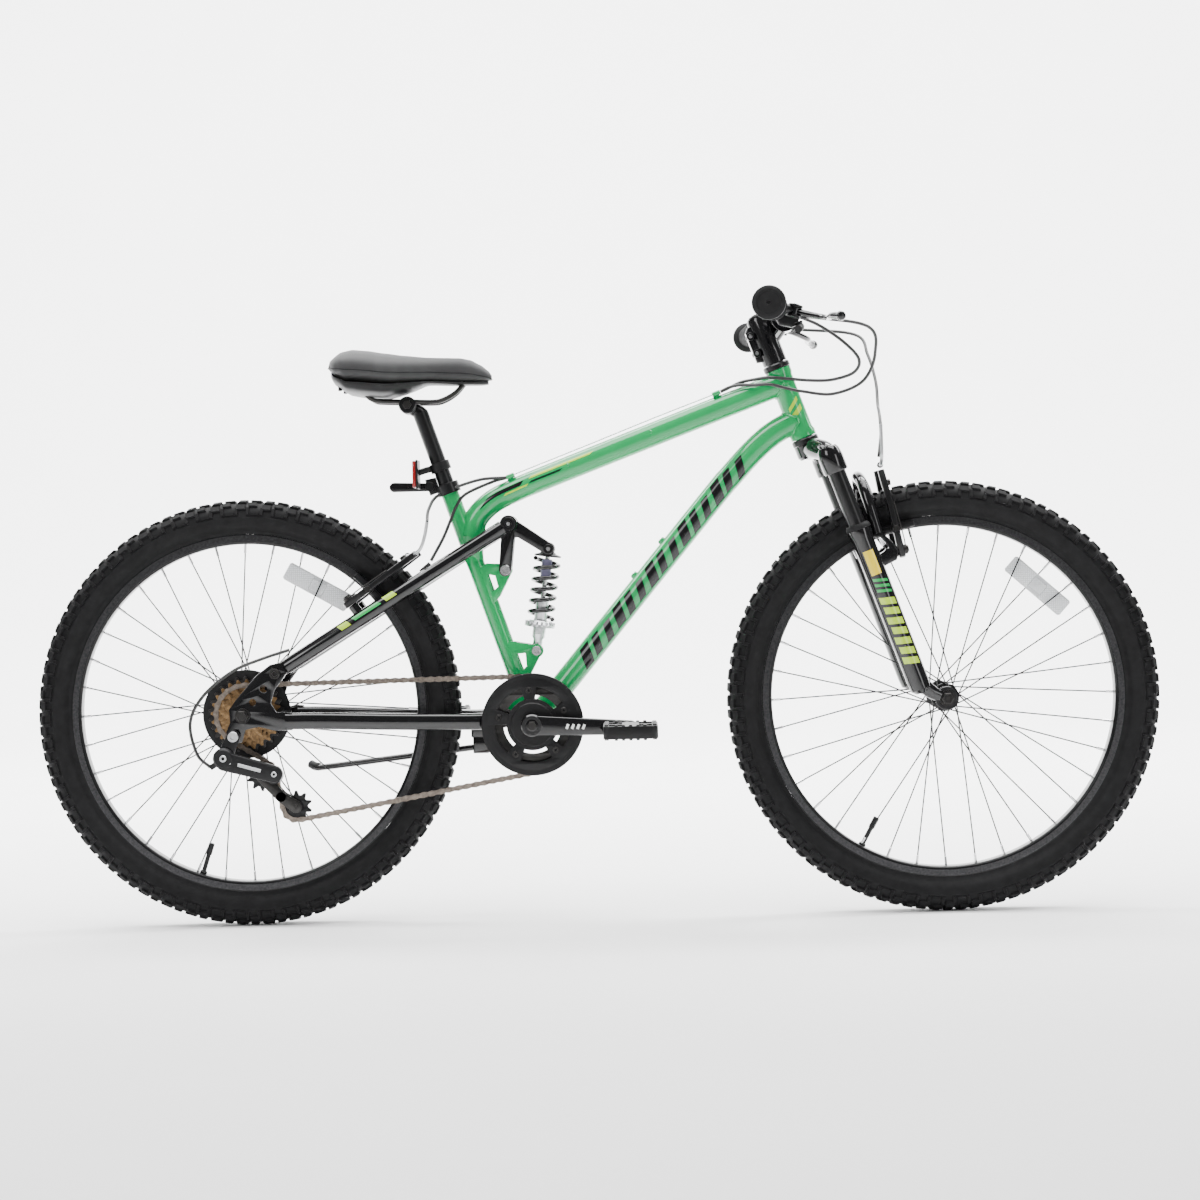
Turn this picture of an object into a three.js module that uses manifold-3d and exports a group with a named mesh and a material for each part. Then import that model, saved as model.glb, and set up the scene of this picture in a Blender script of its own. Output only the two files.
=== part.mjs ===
// A 24-inch full-suspension mountain bike: frame, swingarm, suspension fork,
// wheels, drive train, rim brakes, cockpit and saddle, each piece its own mesh.
//
// Millimetres. +X is forward, +Z is up, and the drive side is -Y. The origin
// is on the ground, midway between the axles, on the plane of the wheels.

import * as THREE from 'three';
import { mergeVertices } from 'three/addons/utils/BufferGeometryUtils.js';
import Module from 'manifold-3d';

const wasm = await Module();
wasm.setup();

// ---------------------------------------------------------------------------
// Driving dimensions
// ---------------------------------------------------------------------------

const WHEELBASE = 1002;
const TYRE_RADIUS = 309;
const TYRE_HALF_WIDTH = 27;
const TYRE_WALL = 2.6;
const RIM_EDGE_RADIUS = 259;
const RIM_INNER_RADIUS = 245;
const RIM_HALF_WIDTH = 12.5;
const SPOKES_PER_WHEEL = 36;
const SPOKE_RADIUS = 1.3;
const WHEEL_FACETS = 32;
const CHAIN_PITCH = 12.7;
const CHAINRING_TEETH = 34;
const WHEEL_SPROCKET_TEETH = 21;      // the sprocket that the chain is on
const PULLEY_TEETH = 10;
const FREEWHEEL_TEETH = [26, 24, 21, 18, 16, 14, 13];
const SPROCKET_PITCH = 4.7;
const SPROCKET_THICKNESS = 1.8;
const CHAINLINE = -45;                // the chain's plane, as a Y value
const CRANK_LENGTH = 140;
const CRANK_ANGLE = 2.5 * Math.PI / 180;   // the right arm points forward and this much down
const STEERING_ANGLE = 70.2 * Math.PI / 180;
const HEAD_TUBE_LENGTH = 105;
const SEAT_TUBE_LENGTH = 366;
const STRAP_END_STEPS = 5;
const GAP = 0.3;                      // left between pieces that rest on each other
const FRONT_HUB_HALF = 50;
const REAR_HUB_HALF = 67.5;
const STEM_HEIGHT = 78;               // the bar's clamp above the head tube, along the steerer
const STEM_REACH = 34;
const BAR_HALF = 290;

const GREEN = 0x00a651;
const BLACK = 0x18191a;

// Places in the plane of the wheels
const V = (x, y, z) => new THREE.Vector3(x, y, z);
const REAR_AXLE = V(-WHEELBASE / 2, 0, TYRE_RADIUS);
const FRONT_AXLE = V(WHEELBASE / 2, 0, TYRE_RADIUS);
const BOTTOM_BRACKET = V(-88, 0, 285.5);
const MAIN_PIVOT = V(-129, 0, 295);
const STAY_PIVOT = V(-453, 0, 368);
const ROCKER_TOP = V(-116, 0, 573);
const ROCKER_FRAME_PIVOT = V(-123, 0, 506.5);
const SHOCK_TOP_EYE = V(-60, 0, 535.5);
const SHOCK_LOW_EYE = V(-81, 0, 389);
const HEAD_TUBE_BOTTOM = V(312, 0, 685.5);
const SEAT_TUBE_LEAN = V(-0.3197, 0, 0.9475);
const SEAT_TUBE_TOP = BOTTOM_BRACKET.clone().addScaledVector(SEAT_TUBE_LEAN, SEAT_TUBE_LENGTH);

// ---------------------------------------------------------------------------
// Building blocks
// ---------------------------------------------------------------------------

// A closed three.js geometry as a solid that can be joined and cut.
function solid(geometry) {
  const bare = geometry.clone();
  bare.deleteAttribute('normal');
  bare.deleteAttribute('uv');
  const merged = mergeVertices(bare, 1e-4);
  const corners = merged.index.array;
  const kept = [];
  for (let i = 0; i < corners.length; i += 3) {
    const [a, b, c] = [corners[i], corners[i + 1], corners[i + 2]];
    if (a !== b && b !== c && c !== a) kept.push(a, b, c);
  }
  const mesh = new wasm.Mesh({
    numProp: 3,
    vertProperties: new Float32Array(merged.attributes.position.array),
    triVerts: new Uint32Array(kept),
  });
  return new wasm.Manifold(mesh);
}

// A joined or cut solid as a three.js geometry.
function geometryOf(body) {
  const mesh = body.getMesh();
  const geometry = new THREE.BufferGeometry();
  geometry.setAttribute('position', new THREE.BufferAttribute(new Float32Array(mesh.vertProperties), 3));
  geometry.setIndex(new THREE.BufferAttribute(new Uint32Array(mesh.triVerts), 1));
  geometry.computeVertexNormals();
  return geometry;
}

const join = (bodies) => bodies.reduce((sum, body) => sum.add(body));
const cut = (body, tools) => tools.reduce((rest, tool) => rest.subtract(tool), body);

// A straight round rod from a to b, tapering from radiusA to radiusB.
function rod(a, b, radiusA, sides = 8, radiusB = radiusA) {
  const along = b.clone().sub(a);
  const geometry = new THREE.CylinderGeometry(radiusB, radiusA, along.length(), sides);
  const turn = new THREE.Quaternion().setFromUnitVectors(V(0, 1, 0), along.clone().normalize());
  geometry.applyQuaternion(turn);
  geometry.translate(...a.clone().add(b).multiplyScalar(0.5).toArray());
  return solid(geometry);
}

// A rod across the bike, centred on a point in the plane of the wheels.
function crossRod(centre, y0, y1, radius, sides = 8) {
  return rod(V(centre.x, y0, centre.z), V(centre.x, y1, centre.z), radius, sides);
}

function pipe(a, b, outer, inner, sides = 12) {
  const past = b.clone().sub(a).normalize();
  const bore = rod(a.clone().sub(past), b.clone().add(past), inner, sides);
  return rod(a, b, outer, sides).subtract(bore);
}

// A round tube whose centre follows a smooth curve through the points.
function sweep(points, radius, sides = 10, steps = 10) {
  const section = new THREE.Shape();
  for (let i = 0; i < sides; i += 1) {
    const angle = 2 * Math.PI * i / sides;
    const corner = [radius * Math.cos(angle), radius * Math.sin(angle)];
    if (i === 0) section.moveTo(...corner);
    else section.lineTo(...corner);
  }
  const path = new THREE.CatmullRomCurve3(points, false, 'centripetal');
  return solid(new THREE.ExtrudeGeometry(section, { steps, bevelEnabled: false, extrudePath: path }));
}

// A tube flattened across the bike, by the factor squeeze.
function flatSweep(points, halfHeight, squeeze, sides = 10, steps = 8) {
  const spread = points.map((p) => V(p.x, p.y / squeeze, p.z));
  return sweep(spread, halfHeight, sides, steps).scale([1, squeeze, 1]);
}

function box(x0, x1, y0, y1, z0, z1) {
  const geometry = new THREE.BoxGeometry(x1 - x0, y1 - y0, z1 - z0);
  geometry.translate((x0 + x1) / 2, (y0 + y1) / 2, (z0 + z1) / 2);
  return solid(geometry);
}

// A ring or a turned piece about the Y axis. The profile's points are
// [radius, y]; it starts and ends on the axis or closes on itself.
function turned(profile, segments = 32) {
  let area = 0;
  for (let i = 0; i < profile.length; i += 1) {
    const [r0, y0] = profile[i];
    const [r1, y1] = profile[(i + 1) % profile.length];
    area += r0 * y1 - r1 * y0;
  }
  const ordered = area > 0 ? [...profile] : [...profile].reverse();
  const closesOnAxis = profile[0][0] === 0 && profile[profile.length - 1][0] === 0;
  if (!closesOnAxis) ordered.push(ordered[0]);
  return solid(new THREE.LatheGeometry(ordered.map(([r, y]) => new THREE.Vector2(r, y)), segments));
}

// A flat plate across the bike: an outline of [x, z] points from y0 to y1.
function plate(outline, y0, y1) {
  const shape = new THREE.Shape(outline.map(([x, z]) => new THREE.Vector2(x, z)));
  const geometry = new THREE.ExtrudeGeometry(shape, { depth: y1 - y0, bevelEnabled: false });
  geometry.rotateX(Math.PI / 2);
  geometry.translate(0, y1, 0);
  return solid(geometry);
}

// A flat bar with round ends through the places given, between y0 and y1.
function strap(places, halfWidth, y0, y1) {
  const bodies = [];
  for (let i = 1; i < places.length; i += 1) {
    const heading = Math.atan2(places[i].z - places[i - 1].z, places[i].x - places[i - 1].x);
    const outline = [[places[i - 1], heading + Math.PI / 2], [places[i], heading - Math.PI / 2]].flatMap(
      ([centre, from]) => Array.from({ length: STRAP_END_STEPS + 1 }, (_, step) => {
        const angle = from + Math.PI * step / STRAP_END_STEPS;
        return [centre.x + halfWidth * Math.cos(angle), centre.z + halfWidth * Math.sin(angle)];
      }));
    bodies.push(plate(outline, y0, y1));
  }
  return join(bodies);
}

// A toothed disc about the Y axis, between y0 and y1.
function sprocket(teeth, y0, y1, boreRadius) {
  const pitchRadius = teeth * CHAIN_PITCH / (2 * Math.PI);
  const tip = pitchRadius + 2.6;
  const root = pitchRadius - 3.6;
  const outline = [];
  for (let i = 0; i < teeth; i += 1) {
    const middle = 2 * Math.PI * (i + 0.5) / teeth;
    const half = Math.PI / teeth;
    for (const [radius, offset] of [[root, -0.5], [tip, 0.1]]) {
      const angle = middle + offset * half;
      outline.push([radius * Math.cos(angle), radius * Math.sin(angle)]);
    }
  }
  return plate(outline, y0, y1).subtract(crossRod(V(0, 0, 0), y0 - 1, y1 + 1, boreRadius, 12));
}

// The two Y values of something between inner and outer from the middle, on one side.
const sideRange = (side, inner, outer) => (side < 0 ? [-outer, -inner] : [inner, outer]);
const pitchRadiusOf = (teeth) => teeth * CHAIN_PITCH / (2 * Math.PI);
const moved = (body, place) => body.translate(place.toArray());
const bothSides = (make) => join([make(-1), make(1)]);

// ---------------------------------------------------------------------------
// Materials and the scene graph
// ---------------------------------------------------------------------------

const finish = (color, roughness, metalness) => ({ color, roughness, metalness });
const FRAME_PAINT = finish(GREEN, 0.2, 0.1);
const BLACK_PAINT = finish(BLACK, 0.25, 0.2);
const BLACK_PLASTIC = finish(0x202122, 0.55, 0);
const RUBBER = finish(0x1c1c1c, 0.85, 0);
const STEEL = finish(0xb8babd, 0.3, 1);
const ALLOY = finish(0xc8cacc, 0.35, 1);
const BRONZE_STEEL = finish(0x8a6a42, 0.4, 1);
const CHAIN_STEEL = finish(0x6e6258, 0.4, 1);
const BLACK_ALLOY = finish(0x1e1f21, 0.35, 0.6);
const CLEAR_PRISM = finish(0xdfe4e6, 0.15, 0);
const RED_PRISM = finish(0xc01818, 0.2, 0);
const PAD_COVER = finish(0x222222, 0.7, 0);

const bike = new THREE.Group();

// The steered pieces are built in a group of their own: its origin is the
// bottom of the head tube and its Z axis is the steering axis.
const steering = new THREE.Group();
steering.position.copy(HEAD_TUBE_BOTTOM);
steering.rotation.y = STEERING_ANGLE - Math.PI / 2;
bike.add(steering);
steering.updateMatrixWorld(true);
const AXLE_IN_STEERING = steering.worldToLocal(FRONT_AXLE.clone());

function piece(name, body, material, group = bike) {
  const mesh = new THREE.Mesh(geometryOf(body), new THREE.MeshStandardMaterial(material));
  mesh.name = name;
  group.add(mesh);
  return mesh;
}

// ---------------------------------------------------------------------------
// Wheels
// ---------------------------------------------------------------------------

// An arch of tyre section: from one bead over the tread to the other bead.
function tyreArch(outerRadius, halfWidth, beadRadius, beadHalf, steps) {
  const points = [];
  const middle = beadRadius + (outerRadius - beadRadius) * 0.46;
  for (let i = 0; i <= steps; i += 1) {
    const angle = -0.78 + (Math.PI + 1.56) * i / steps;
    const reach = Math.sin(angle) > 0 ? outerRadius - middle : (middle - beadRadius) / Math.sin(0.78);
    points.push([middle + reach * Math.sin(angle), -halfWidth * Math.cos(angle)]);
  }
  points[0][1] = -beadHalf;
  points[steps][1] = beadHalf;
  return points;
}

function tyre() {
  const bead = RIM_EDGE_RADIUS + GAP;
  const outside = tyreArch(TYRE_RADIUS, TYRE_HALF_WIDTH, bead, RIM_HALF_WIDTH - 0.5, 6);
  const treadWall = TYRE_WALL * 1.6;
  const inside = tyreArch(TYRE_RADIUS - treadWall, TYRE_HALF_WIDTH - TYRE_WALL, bead, RIM_HALF_WIDTH - 4, 4);
  return turned([...outside, ...inside.reverse()], WHEEL_FACETS);
}

function rim() {
  const wall = 2.2;
  const half = RIM_HALF_WIDTH;
  return turned([
    [RIM_EDGE_RADIUS, -half],
    [RIM_INNER_RADIUS, -half + 2],
    [RIM_INNER_RADIUS, half - 2],
    [RIM_EDGE_RADIUS, half],
    [RIM_EDGE_RADIUS, half - wall],
    [RIM_INNER_RADIUS + wall + 2, half - wall],
    [RIM_INNER_RADIUS + wall + 2, -half + wall],
    [RIM_EDGE_RADIUS, -half + wall],
  ], WHEEL_FACETS);
}

// Three-cross lacing: each spoke leaves its flange 60 degrees round from the
// rim hole it runs to. Those that lead start inside the flange and those that
// trail start outside it. A thin band inside the rim stands for the nipples
// and ties the spokes into one piece.
function spokes(flangeYs, headRadius) {
  const crossing = Math.PI / 3;
  const rimReach = RIM_INNER_RADIUS - 3.5;
  const bodies = [turned([
    [RIM_INNER_RADIUS - 6, -3],
    [RIM_INNER_RADIUS - 1.8, -3],
    [RIM_INNER_RADIUS - 1.8, 3],
    [RIM_INNER_RADIUS - 6, 3],
  ], SPOKES_PER_WHEEL)];
  for (let i = 0; i < SPOKES_PER_WHEEL; i += 1) {
    const rimAngle = 2 * Math.PI * i / SPOKES_PER_WHEEL;
    const flangeY = flangeYs[i % 2];
    const outward = Math.sign(flangeY);
    const leads = Math.floor(i / 2) % 2 === 0;
    const hubAngle = rimAngle + (leads ? crossing : -crossing);
    const headY = flangeY + outward * (leads ? -SPOKE_INSIDE : SPOKE_OUTSIDE);
    const start = V(headRadius * Math.cos(hubAngle), headY, headRadius * Math.sin(hubAngle));
    const end = V(rimReach * Math.cos(rimAngle), outward * 1.2, rimReach * Math.sin(rimAngle));
    bodies.push(rod(start, end, SPOKE_RADIUS, 3));
  }
  return join(bodies);
}

// A prismatic reflector between the two fans of spokes, radiusHere from the axle.
function wheelReflector(angle) {
  const turn = angle * Math.PI / 180;
  return box(-52, 52, -REFLECTOR_HALF, REFLECTOR_HALF, -13, 13)
    .rotate([0, 90 - angle, 0])
    .translate([REFLECTOR_RADIUS * Math.cos(turn), 0, REFLECTOR_RADIUS * Math.sin(turn)]);
}

const REFLECTOR_RADIUS = 205;           // from the axle to the wheel reflector's middle
const REFLECTOR_HALF = 1.1;             // it lies between the two sides' spokes
const FRONT_FLANGE_Y = 32;
const REAR_FLANGE_RIGHT_Y = -21;
const REAR_FLANGE_LEFT_Y = 33;
const FLANGE_HALF = 1.5;
const SPOKE_INSIDE = 3.4;              // from the flange's middle to the heads inside it
const SPOKE_OUTSIDE = 5;
const PROTECTOR_RADIUS = 64;
const AXLE_RADIUS = 4.6;
const AXLE_BORE = 5.1;

// bossRadius is the hub's radius outside its right flange.
function hub(rightFlange, leftFlange, flangeRadius, ends, bossRadius) {
  const profile = [
    [AXLE_BORE, ends[0]], [bossRadius, ends[0]], [bossRadius, rightFlange - FLANGE_HALF],
    [flangeRadius, rightFlange - FLANGE_HALF], [flangeRadius, rightFlange + FLANGE_HALF],
    [13, rightFlange + FLANGE_HALF + 1], [9.5, rightFlange + 12],
    [9.5, leftFlange - 12], [13, leftFlange - FLANGE_HALF - 1],
    [flangeRadius, leftFlange - FLANGE_HALF], [flangeRadius, leftFlange + FLANGE_HALF],
    [11, leftFlange + FLANGE_HALF], [10, ends[1]], [AXLE_BORE, ends[1]],
  ];
  return turned(profile, 14);
}

function axle(half, nutHeight, overall) {
  const bodies = [crossRod(V(0, 0, 0), -overall, overall, AXLE_RADIUS, 12)];
  for (const side of [-1, 1]) {
    const nutStart = side * (half + nutHeight[0]);
    const nutEnd = side * (half + nutHeight[1]);
    bodies.push(crossRod(V(0, 0, 0), Math.min(nutStart, nutEnd), Math.max(nutStart, nutEnd), 9, 6));
  }
  return join(bodies);
}

const DROPOUT_PLATE = 6;

function buildWheels() {
  const wheels = [
    ['front', FRONT_AXLE, [-FRONT_FLANGE_Y, FRONT_FLANGE_Y], 20],
    ['rear', REAR_AXLE, [REAR_FLANGE_RIGHT_Y, REAR_FLANGE_LEFT_Y], 24],
  ];
  for (const [end, place, flanges, flangeRadius] of wheels) {
    piece(`${end}_tyre`, moved(tyre(), place), RUBBER);
    piece(`${end}_rim`, moved(rim(), place), BLACK_ALLOY);
    piece(`${end}_spokes`, moved(spokes(flanges, flangeRadius - 3), place), STEEL);
  }
  const frontHub = hub(-FRONT_FLANGE_Y, FRONT_FLANGE_Y, 20, [-46, 46], 11);
  piece('front_hub', moved(frontHub, FRONT_AXLE), BLACK_ALLOY);
  const rearHub = hub(REAR_FLANGE_RIGHT_Y, REAR_FLANGE_LEFT_Y, 24, [-58, 62], 12.6);
  const spokeProtector = turned([
    [10, -31], [PROTECTOR_RADIUS, -31], [PROTECTOR_RADIUS, -30], [10, -30],
  ], 20);
  piece('rear_hub', moved(rearHub.add(spokeProtector), REAR_AXLE), BLACK_ALLOY);
  const frontNuts = [DROPOUT_PLATE + GAP, DROPOUT_PLATE + 9];
  piece('front_axle', moved(axle(FRONT_HUB_HALF, frontNuts, FRONT_HUB_HALF + 18), FRONT_AXLE), STEEL);
  const rearNuts = [DROPOUT_PLATE + GAP, DROPOUT_PLATE + 9];
  piece('rear_axle', moved(axle(REAR_HUB_HALF, rearNuts, REAR_HUB_HALF + 17), REAR_AXLE), STEEL);
  piece('front_wheel_reflector', moved(wheelReflector(48), FRONT_AXLE), CLEAR_PRISM);
  piece('rear_wheel_reflector', moved(wheelReflector(60), REAR_AXLE), CLEAR_PRISM);
}

// ---------------------------------------------------------------------------
// Main frame, headset and bottom bracket
// ---------------------------------------------------------------------------

const HEAD_TUBE_OUTER = 17;
const HEAD_TUBE_INNER = 15;
const SEAT_TUBE_OUTER = 13;
const SEAT_TUBE_BORE = 11.9;
const TOP_TUBE_RADIUS = 17.5;
const DOWN_TUBE_RADIUS = 18;
const SHELL_OUTER = 20.5;
const SHELL_INNER = 17.3;
const SHELL_HALF = 34;
const PIVOT_BARREL_HALF = 25;
const PIVOT_BARREL_RADIUS = 12.5;
const PIVOT_BOLT_RADIUS = 5;
const GUSSET_INNER_Y = 8.7;
const GUSSET_OUTER_Y = 12.5;
const SMALL_BOLT_RADIUS = 4;
const SMALL_BOLT_BORE = 4.4;

// The cable stops stand on the top tube, at STOP_XS along it.
const STOP_XS = [187, -112];
const STOP_YS = [-10, -3];
const TOP_TUBE_SLOPE = 0.364;
const cableStop = (x, y) => V(x, y, (x > 0 ? 752.3 - 187 * TOP_TUBE_SLOPE : 682.8) + x * TOP_TUBE_SLOPE);
const steeringPoint = (x, y, z) => steering.localToWorld(V(x, y, z));
const onSeatTube = (height) => BOTTOM_BRACKET.clone().addScaledVector(SEAT_TUBE_LEAN, height);

// Two side plates from the seat tube to an eye, each with a three-cornered hole.
function gusset(outline, hole, eye) {
  return bothSides((side) => {
    const [y0, y1] = sideRange(side, GUSSET_INNER_Y, GUSSET_OUTER_Y);
    const sheet = join([plate(outline, y0, y1), crossRod(eye, y0, y1, 9.5, 10)]);
    return cut(sheet, [plate(hole, y0 - 1, y1 + 1), crossRod(eye, y0 - 1, y1 + 1, SMALL_BOLT_BORE, 12)]);
  });
}

function mainFrame() {
  const headTop = steeringPoint(0, 0, HEAD_TUBE_LENGTH);
  const topTube = sweep([
    V(281, 0, 764), V(131, 0, 709.4), V(-56, 0, 640.8), V(-104, 0, 622.5),
    V(-139, 0, 606), V(-163, 0, 583), V(-171, 0, 556),
  ], TOP_TUBE_RADIUS, 10, 8);
  const topTubeFoot = rod(V(-171, 0, 557), V(-160, 0, 505), TOP_TUBE_RADIUS, 10, 6);
  const downTube = sweep([
    V(-88, 0, 285.5), V(10, 0, 402.3), V(174.9, 0, 598.8), V(205, 0, 633),
    V(238, 0, 668), V(268, 0, 693), V(302, 0, 711),
  ], DOWN_TUBE_RADIUS, 10, 8);
  const seatTube = rod(BOTTOM_BRACKET, SEAT_TUBE_TOP, SEAT_TUBE_OUTER, 10);
  const shell = crossRod(BOTTOM_BRACKET, -SHELL_HALF, SHELL_HALF, SHELL_OUTER, 12);
  const barrel = crossRod(MAIN_PIVOT, -PIVOT_BARREL_HALF, PIVOT_BARREL_HALF, PIVOT_BARREL_RADIUS, 10);
  const barrelPlates = bothSides((side) => {
    const [y0, y1] = sideRange(side, 16, 22);
    return plate([[-129, 307], [-104, 330], [-88, 300], [-88, 272], [-129, 283]], y0, y1);
  });
  const shockGusset = gusset(
    [[-128, 396], [-118, 402], [-86, 398], [-73, 386], [-92, 352], [-108, 338]],
    [[-110, 384], [-96, 386], [-96, 366], [-101, 360]], SHOCK_LOW_EYE);
  const rockerGusset = gusset(
    [[-160, 511], [-150, 516], [-126, 515], [-114, 503], [-132, 470], [-143, 456]],
    [[-149, 500], [-138, 498], [-134, 482], [-142, 476]], ROCKER_FRAME_PIVOT);
  const bosses = [V(101, 0, 544.9), V(60.4, 0, 496.3)].map((end) => {
    const inward = V(0.766, 0, -0.643);
    return rod(end.clone().addScaledVector(inward, -1), end.clone().addScaledVector(inward, 10), 6, 8);
  });
  const stops = STOP_XS.flatMap((x) => STOP_YS.map(
    (y) => rod(cableStop(x - 6, y), cableStop(x + 6, y), 3.4, 6)));
  const stopRoots = STOP_XS.map(
    (x) => box(x - 5, x + 5, -9, -4, cableStop(x, 0).z - 14, cableStop(x, 0).z));
  const solids = [
    rod(HEAD_TUBE_BOTTOM, headTop, HEAD_TUBE_OUTER, 12), topTube, topTubeFoot, downTube, seatTube,
    shell, barrel, barrelPlates, shockGusset, rockerGusset, ...bosses, ...stopRoots, ...stops,
  ];
  const headBore = rod(
    steeringPoint(0, 0, -5), steeringPoint(0, 0, HEAD_TUBE_LENGTH + 5), HEAD_TUBE_INNER, 12);
  const postBore = rod(onSeatTube(170), onSeatTube(SEAT_TUBE_LENGTH + 5), SEAT_TUBE_BORE, 10);
  const shellBore = crossRod(BOTTOM_BRACKET, -SHELL_HALF - 1, SHELL_HALF + 1, SHELL_INNER, 12);
  const pivotBore = crossRod(
    MAIN_PIVOT, -PIVOT_BARREL_HALF - 1, PIVOT_BARREL_HALF + 1, PIVOT_BOLT_RADIUS + GAP, 12);
  const eyeSpace = crossRod(SHOCK_LOW_EYE, -GUSSET_INNER_Y + 0.1, GUSSET_INNER_Y - 0.1, 17, 10);
  return cut(join(solids), [headBore, postBore, shellBore, pivotBore, eyeSpace]);
}

function buildFrame() {
  piece('main_frame', mainFrame(), FRAME_PAINT);
  const cup = (z0, z1, dir) => {
    const flange = pipe(V(0, 0, z0), V(0, 0, z1), 19.5, 13.4, 12);
    const spigotStart = dir > 0 ? z0 - 10 : z1;
    const spigotRadius = HEAD_TUBE_INNER - GAP - 0.2;
    return flange.add(pipe(V(0, 0, spigotStart - 0.01), V(0, 0, spigotStart + 10.01), spigotRadius, 13.4, 12));
  };
  piece('upper_headset_cup', cup(HEAD_TUBE_LENGTH + GAP, HEAD_TUBE_LENGTH + 9, 1), BLACK_ALLOY, steering);
  piece('lower_headset_cup', cup(-9, -GAP, -1), BLACK_ALLOY, steering);
  const cartridge = turned([
    [8.2, -SHELL_HALF - 3], [19, -SHELL_HALF - 3], [19, -SHELL_HALF - GAP], [16.8, -SHELL_HALF - GAP],
    [16.8, SHELL_HALF + GAP], [19, SHELL_HALF + GAP], [19, SHELL_HALF + 3], [8.2, SHELL_HALF + 3],
  ], 12);
  piece('bottom_bracket', moved(cartridge, BOTTOM_BRACKET), BLACK_ALLOY);
}

// ---------------------------------------------------------------------------
// Saddle, seat post and clamp
// ---------------------------------------------------------------------------

const POST_RADIUS = 11.4;
const CLAMP_LUG_Y = 8;
const RAIL_Y = 21;
const RAIL_RADIUS = 3.5;
const POST_TOP = onSeatTube(478);
const SADDLE_CLAMP = V(-257, 0, 747);
const CLAMP_LEVER_PIVOT = V(-229, 28, 630);

function seatClamp() {
  const low = onSeatTube(SEAT_TUBE_LENGTH - 14);
  const high = onSeatTube(SEAT_TUBE_LENGTH + 1.5);
  const ring = pipe(low, high, 17, SEAT_TUBE_OUTER + GAP, 12);
  const ear = plate([[-236, 640], [-221, 643], [-214, 622], [-229, 617]], -CLAMP_LUG_Y, CLAMP_LUG_Y);
  const boltEnd = (y) => CLAMP_LEVER_PIVOT.clone().setY(y);
  const bolt = rod(boltEnd(-13), boltEnd(CLAMP_LEVER_PIVOT.y - 7), 4.5, 8);
  const past = SEAT_TUBE_LEAN.clone().multiplyScalar(3);
  const bore = rod(low.clone().sub(past), high.clone().add(past), SEAT_TUBE_OUTER + 2 * GAP, 12);
  return cut(join([ring, ear, bolt]), [bore]);
}

// The lever swings outward about a pin that stands along the seat tube.
function seatClampLever() {
  const half = SEAT_TUBE_LEAN.clone().multiplyScalar(5.5);
  const cam = rod(CLAMP_LEVER_PIVOT.clone().sub(half), CLAMP_LEVER_PIVOT.clone().add(half), 6.5, 8);
  const bladePlaces = [V(-232, 0, 630), V(-286, 0, 631)];
  const blade = strap(bladePlaces, 5.5, CLAMP_LEVER_PIVOT.y - 2, CLAMP_LEVER_PIVOT.y + 2);
  return join([cam, blade]);
}

function seatPost() {
  const tube = rod(onSeatTube(245), POST_TOP, POST_RADIUS, 10);
  const head = crossRod(SADDLE_CLAMP, -28, 28, 12, 10);
  const neck = rod(POST_TOP.clone().addScaledVector(SEAT_TUBE_LEAN, -16), SADDLE_CLAMP, 9.5, 8);
  const grooves = [-1, 1].map((side) => rod(
    V(-330, side * RAIL_Y, 756), V(-190, side * RAIL_Y, 750), RAIL_RADIUS + GAP, 10));
  return cut(join([tube, head, neck]), grooves);
}

// The saddle's plan: wide at the back, narrow at the nose.
const SADDLE_PLAN = [
  [-370, 30], [-360, 62], [-335, 77], [-300, 76], [-262, 52], [-225, 31], [-180, 22], [-146, 19], [-135, 10],
];

function saddlePlan(inset) {
  const right = SADDLE_PLAN.map(([x, y]) => [x + (x < -300 ? inset : -inset / 3), -y + inset]);
  const left = [...right].reverse().map(([x, y]) => [x, -y]);
  const shape = new THREE.Shape([...right, ...left].map(([x, y]) => new THREE.Vector2(x, y)));
  const geometry = new THREE.ExtrudeGeometry(shape, { depth: 120, bevelEnabled: false });
  geometry.translate(0, 0, 740);
  return solid(geometry);
}

function saddlePad() {
  const side = plate([
    [-370, 805], [-365, 818], [-350, 827], [-334, 830], [-291, 824], [-228, 817], [-181, 815.5],
    [-155, 806], [-134, 788], [-136, 779.4], [-180, 779.6], [-225, 781.6], [-285, 776.6], [-340, 781],
    [-360, 790],
  ], -90, 90);
  return saddlePlan(0).intersect(side);
}

function saddleBase() {
  const side = plate([
    [-358, 789], [-340, 780.5], [-285, 775.6], [-225, 780.6], [-180, 778.6], [-140, 778.4],
    [-146, 774], [-180, 773], [-225, 773], [-285, 762], [-305, 759], [-338, 770], [-356, 780],
  ], -90, 90);
  const shell = saddlePlan(6).intersect(side);
  const rails = bothSides((s) => join([
    rod(V(-293, s * RAIL_Y, 754.4), V(-221, s * RAIL_Y, 751.3), RAIL_RADIUS, 6),
    sweep([
      V(-318, s * 34, 770), V(-311, s * 30, 760), V(-303, s * 24, 755.5), V(-290, s * RAIL_Y, 754.3),
    ], RAIL_RADIUS, 6, 3),
    sweep([
      V(-224, s * RAIL_Y, 751.4), V(-206, s * 18, 754), V(-188, s * 12, 764), V(-176, s * 8, 777),
    ], RAIL_RADIUS, 6, 3),
  ]));
  return join([shell, rails]);
}

function rearReflector() {
  const low = onSeatTube(387);
  const high = onSeatTube(400);
  const ring = rod(low, high, 15, 10);
  const arm = rod(V(-219, 0, 657), V(-246, 0, 651), 4.5, 10);
  const lens = box(-253, -245, -24, 24, 627, 669);
  const bore = rod(onSeatTube(380), onSeatTube(410), POST_RADIUS + GAP, 10);
  return cut(join([ring, arm, lens]), [bore]);
}

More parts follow.
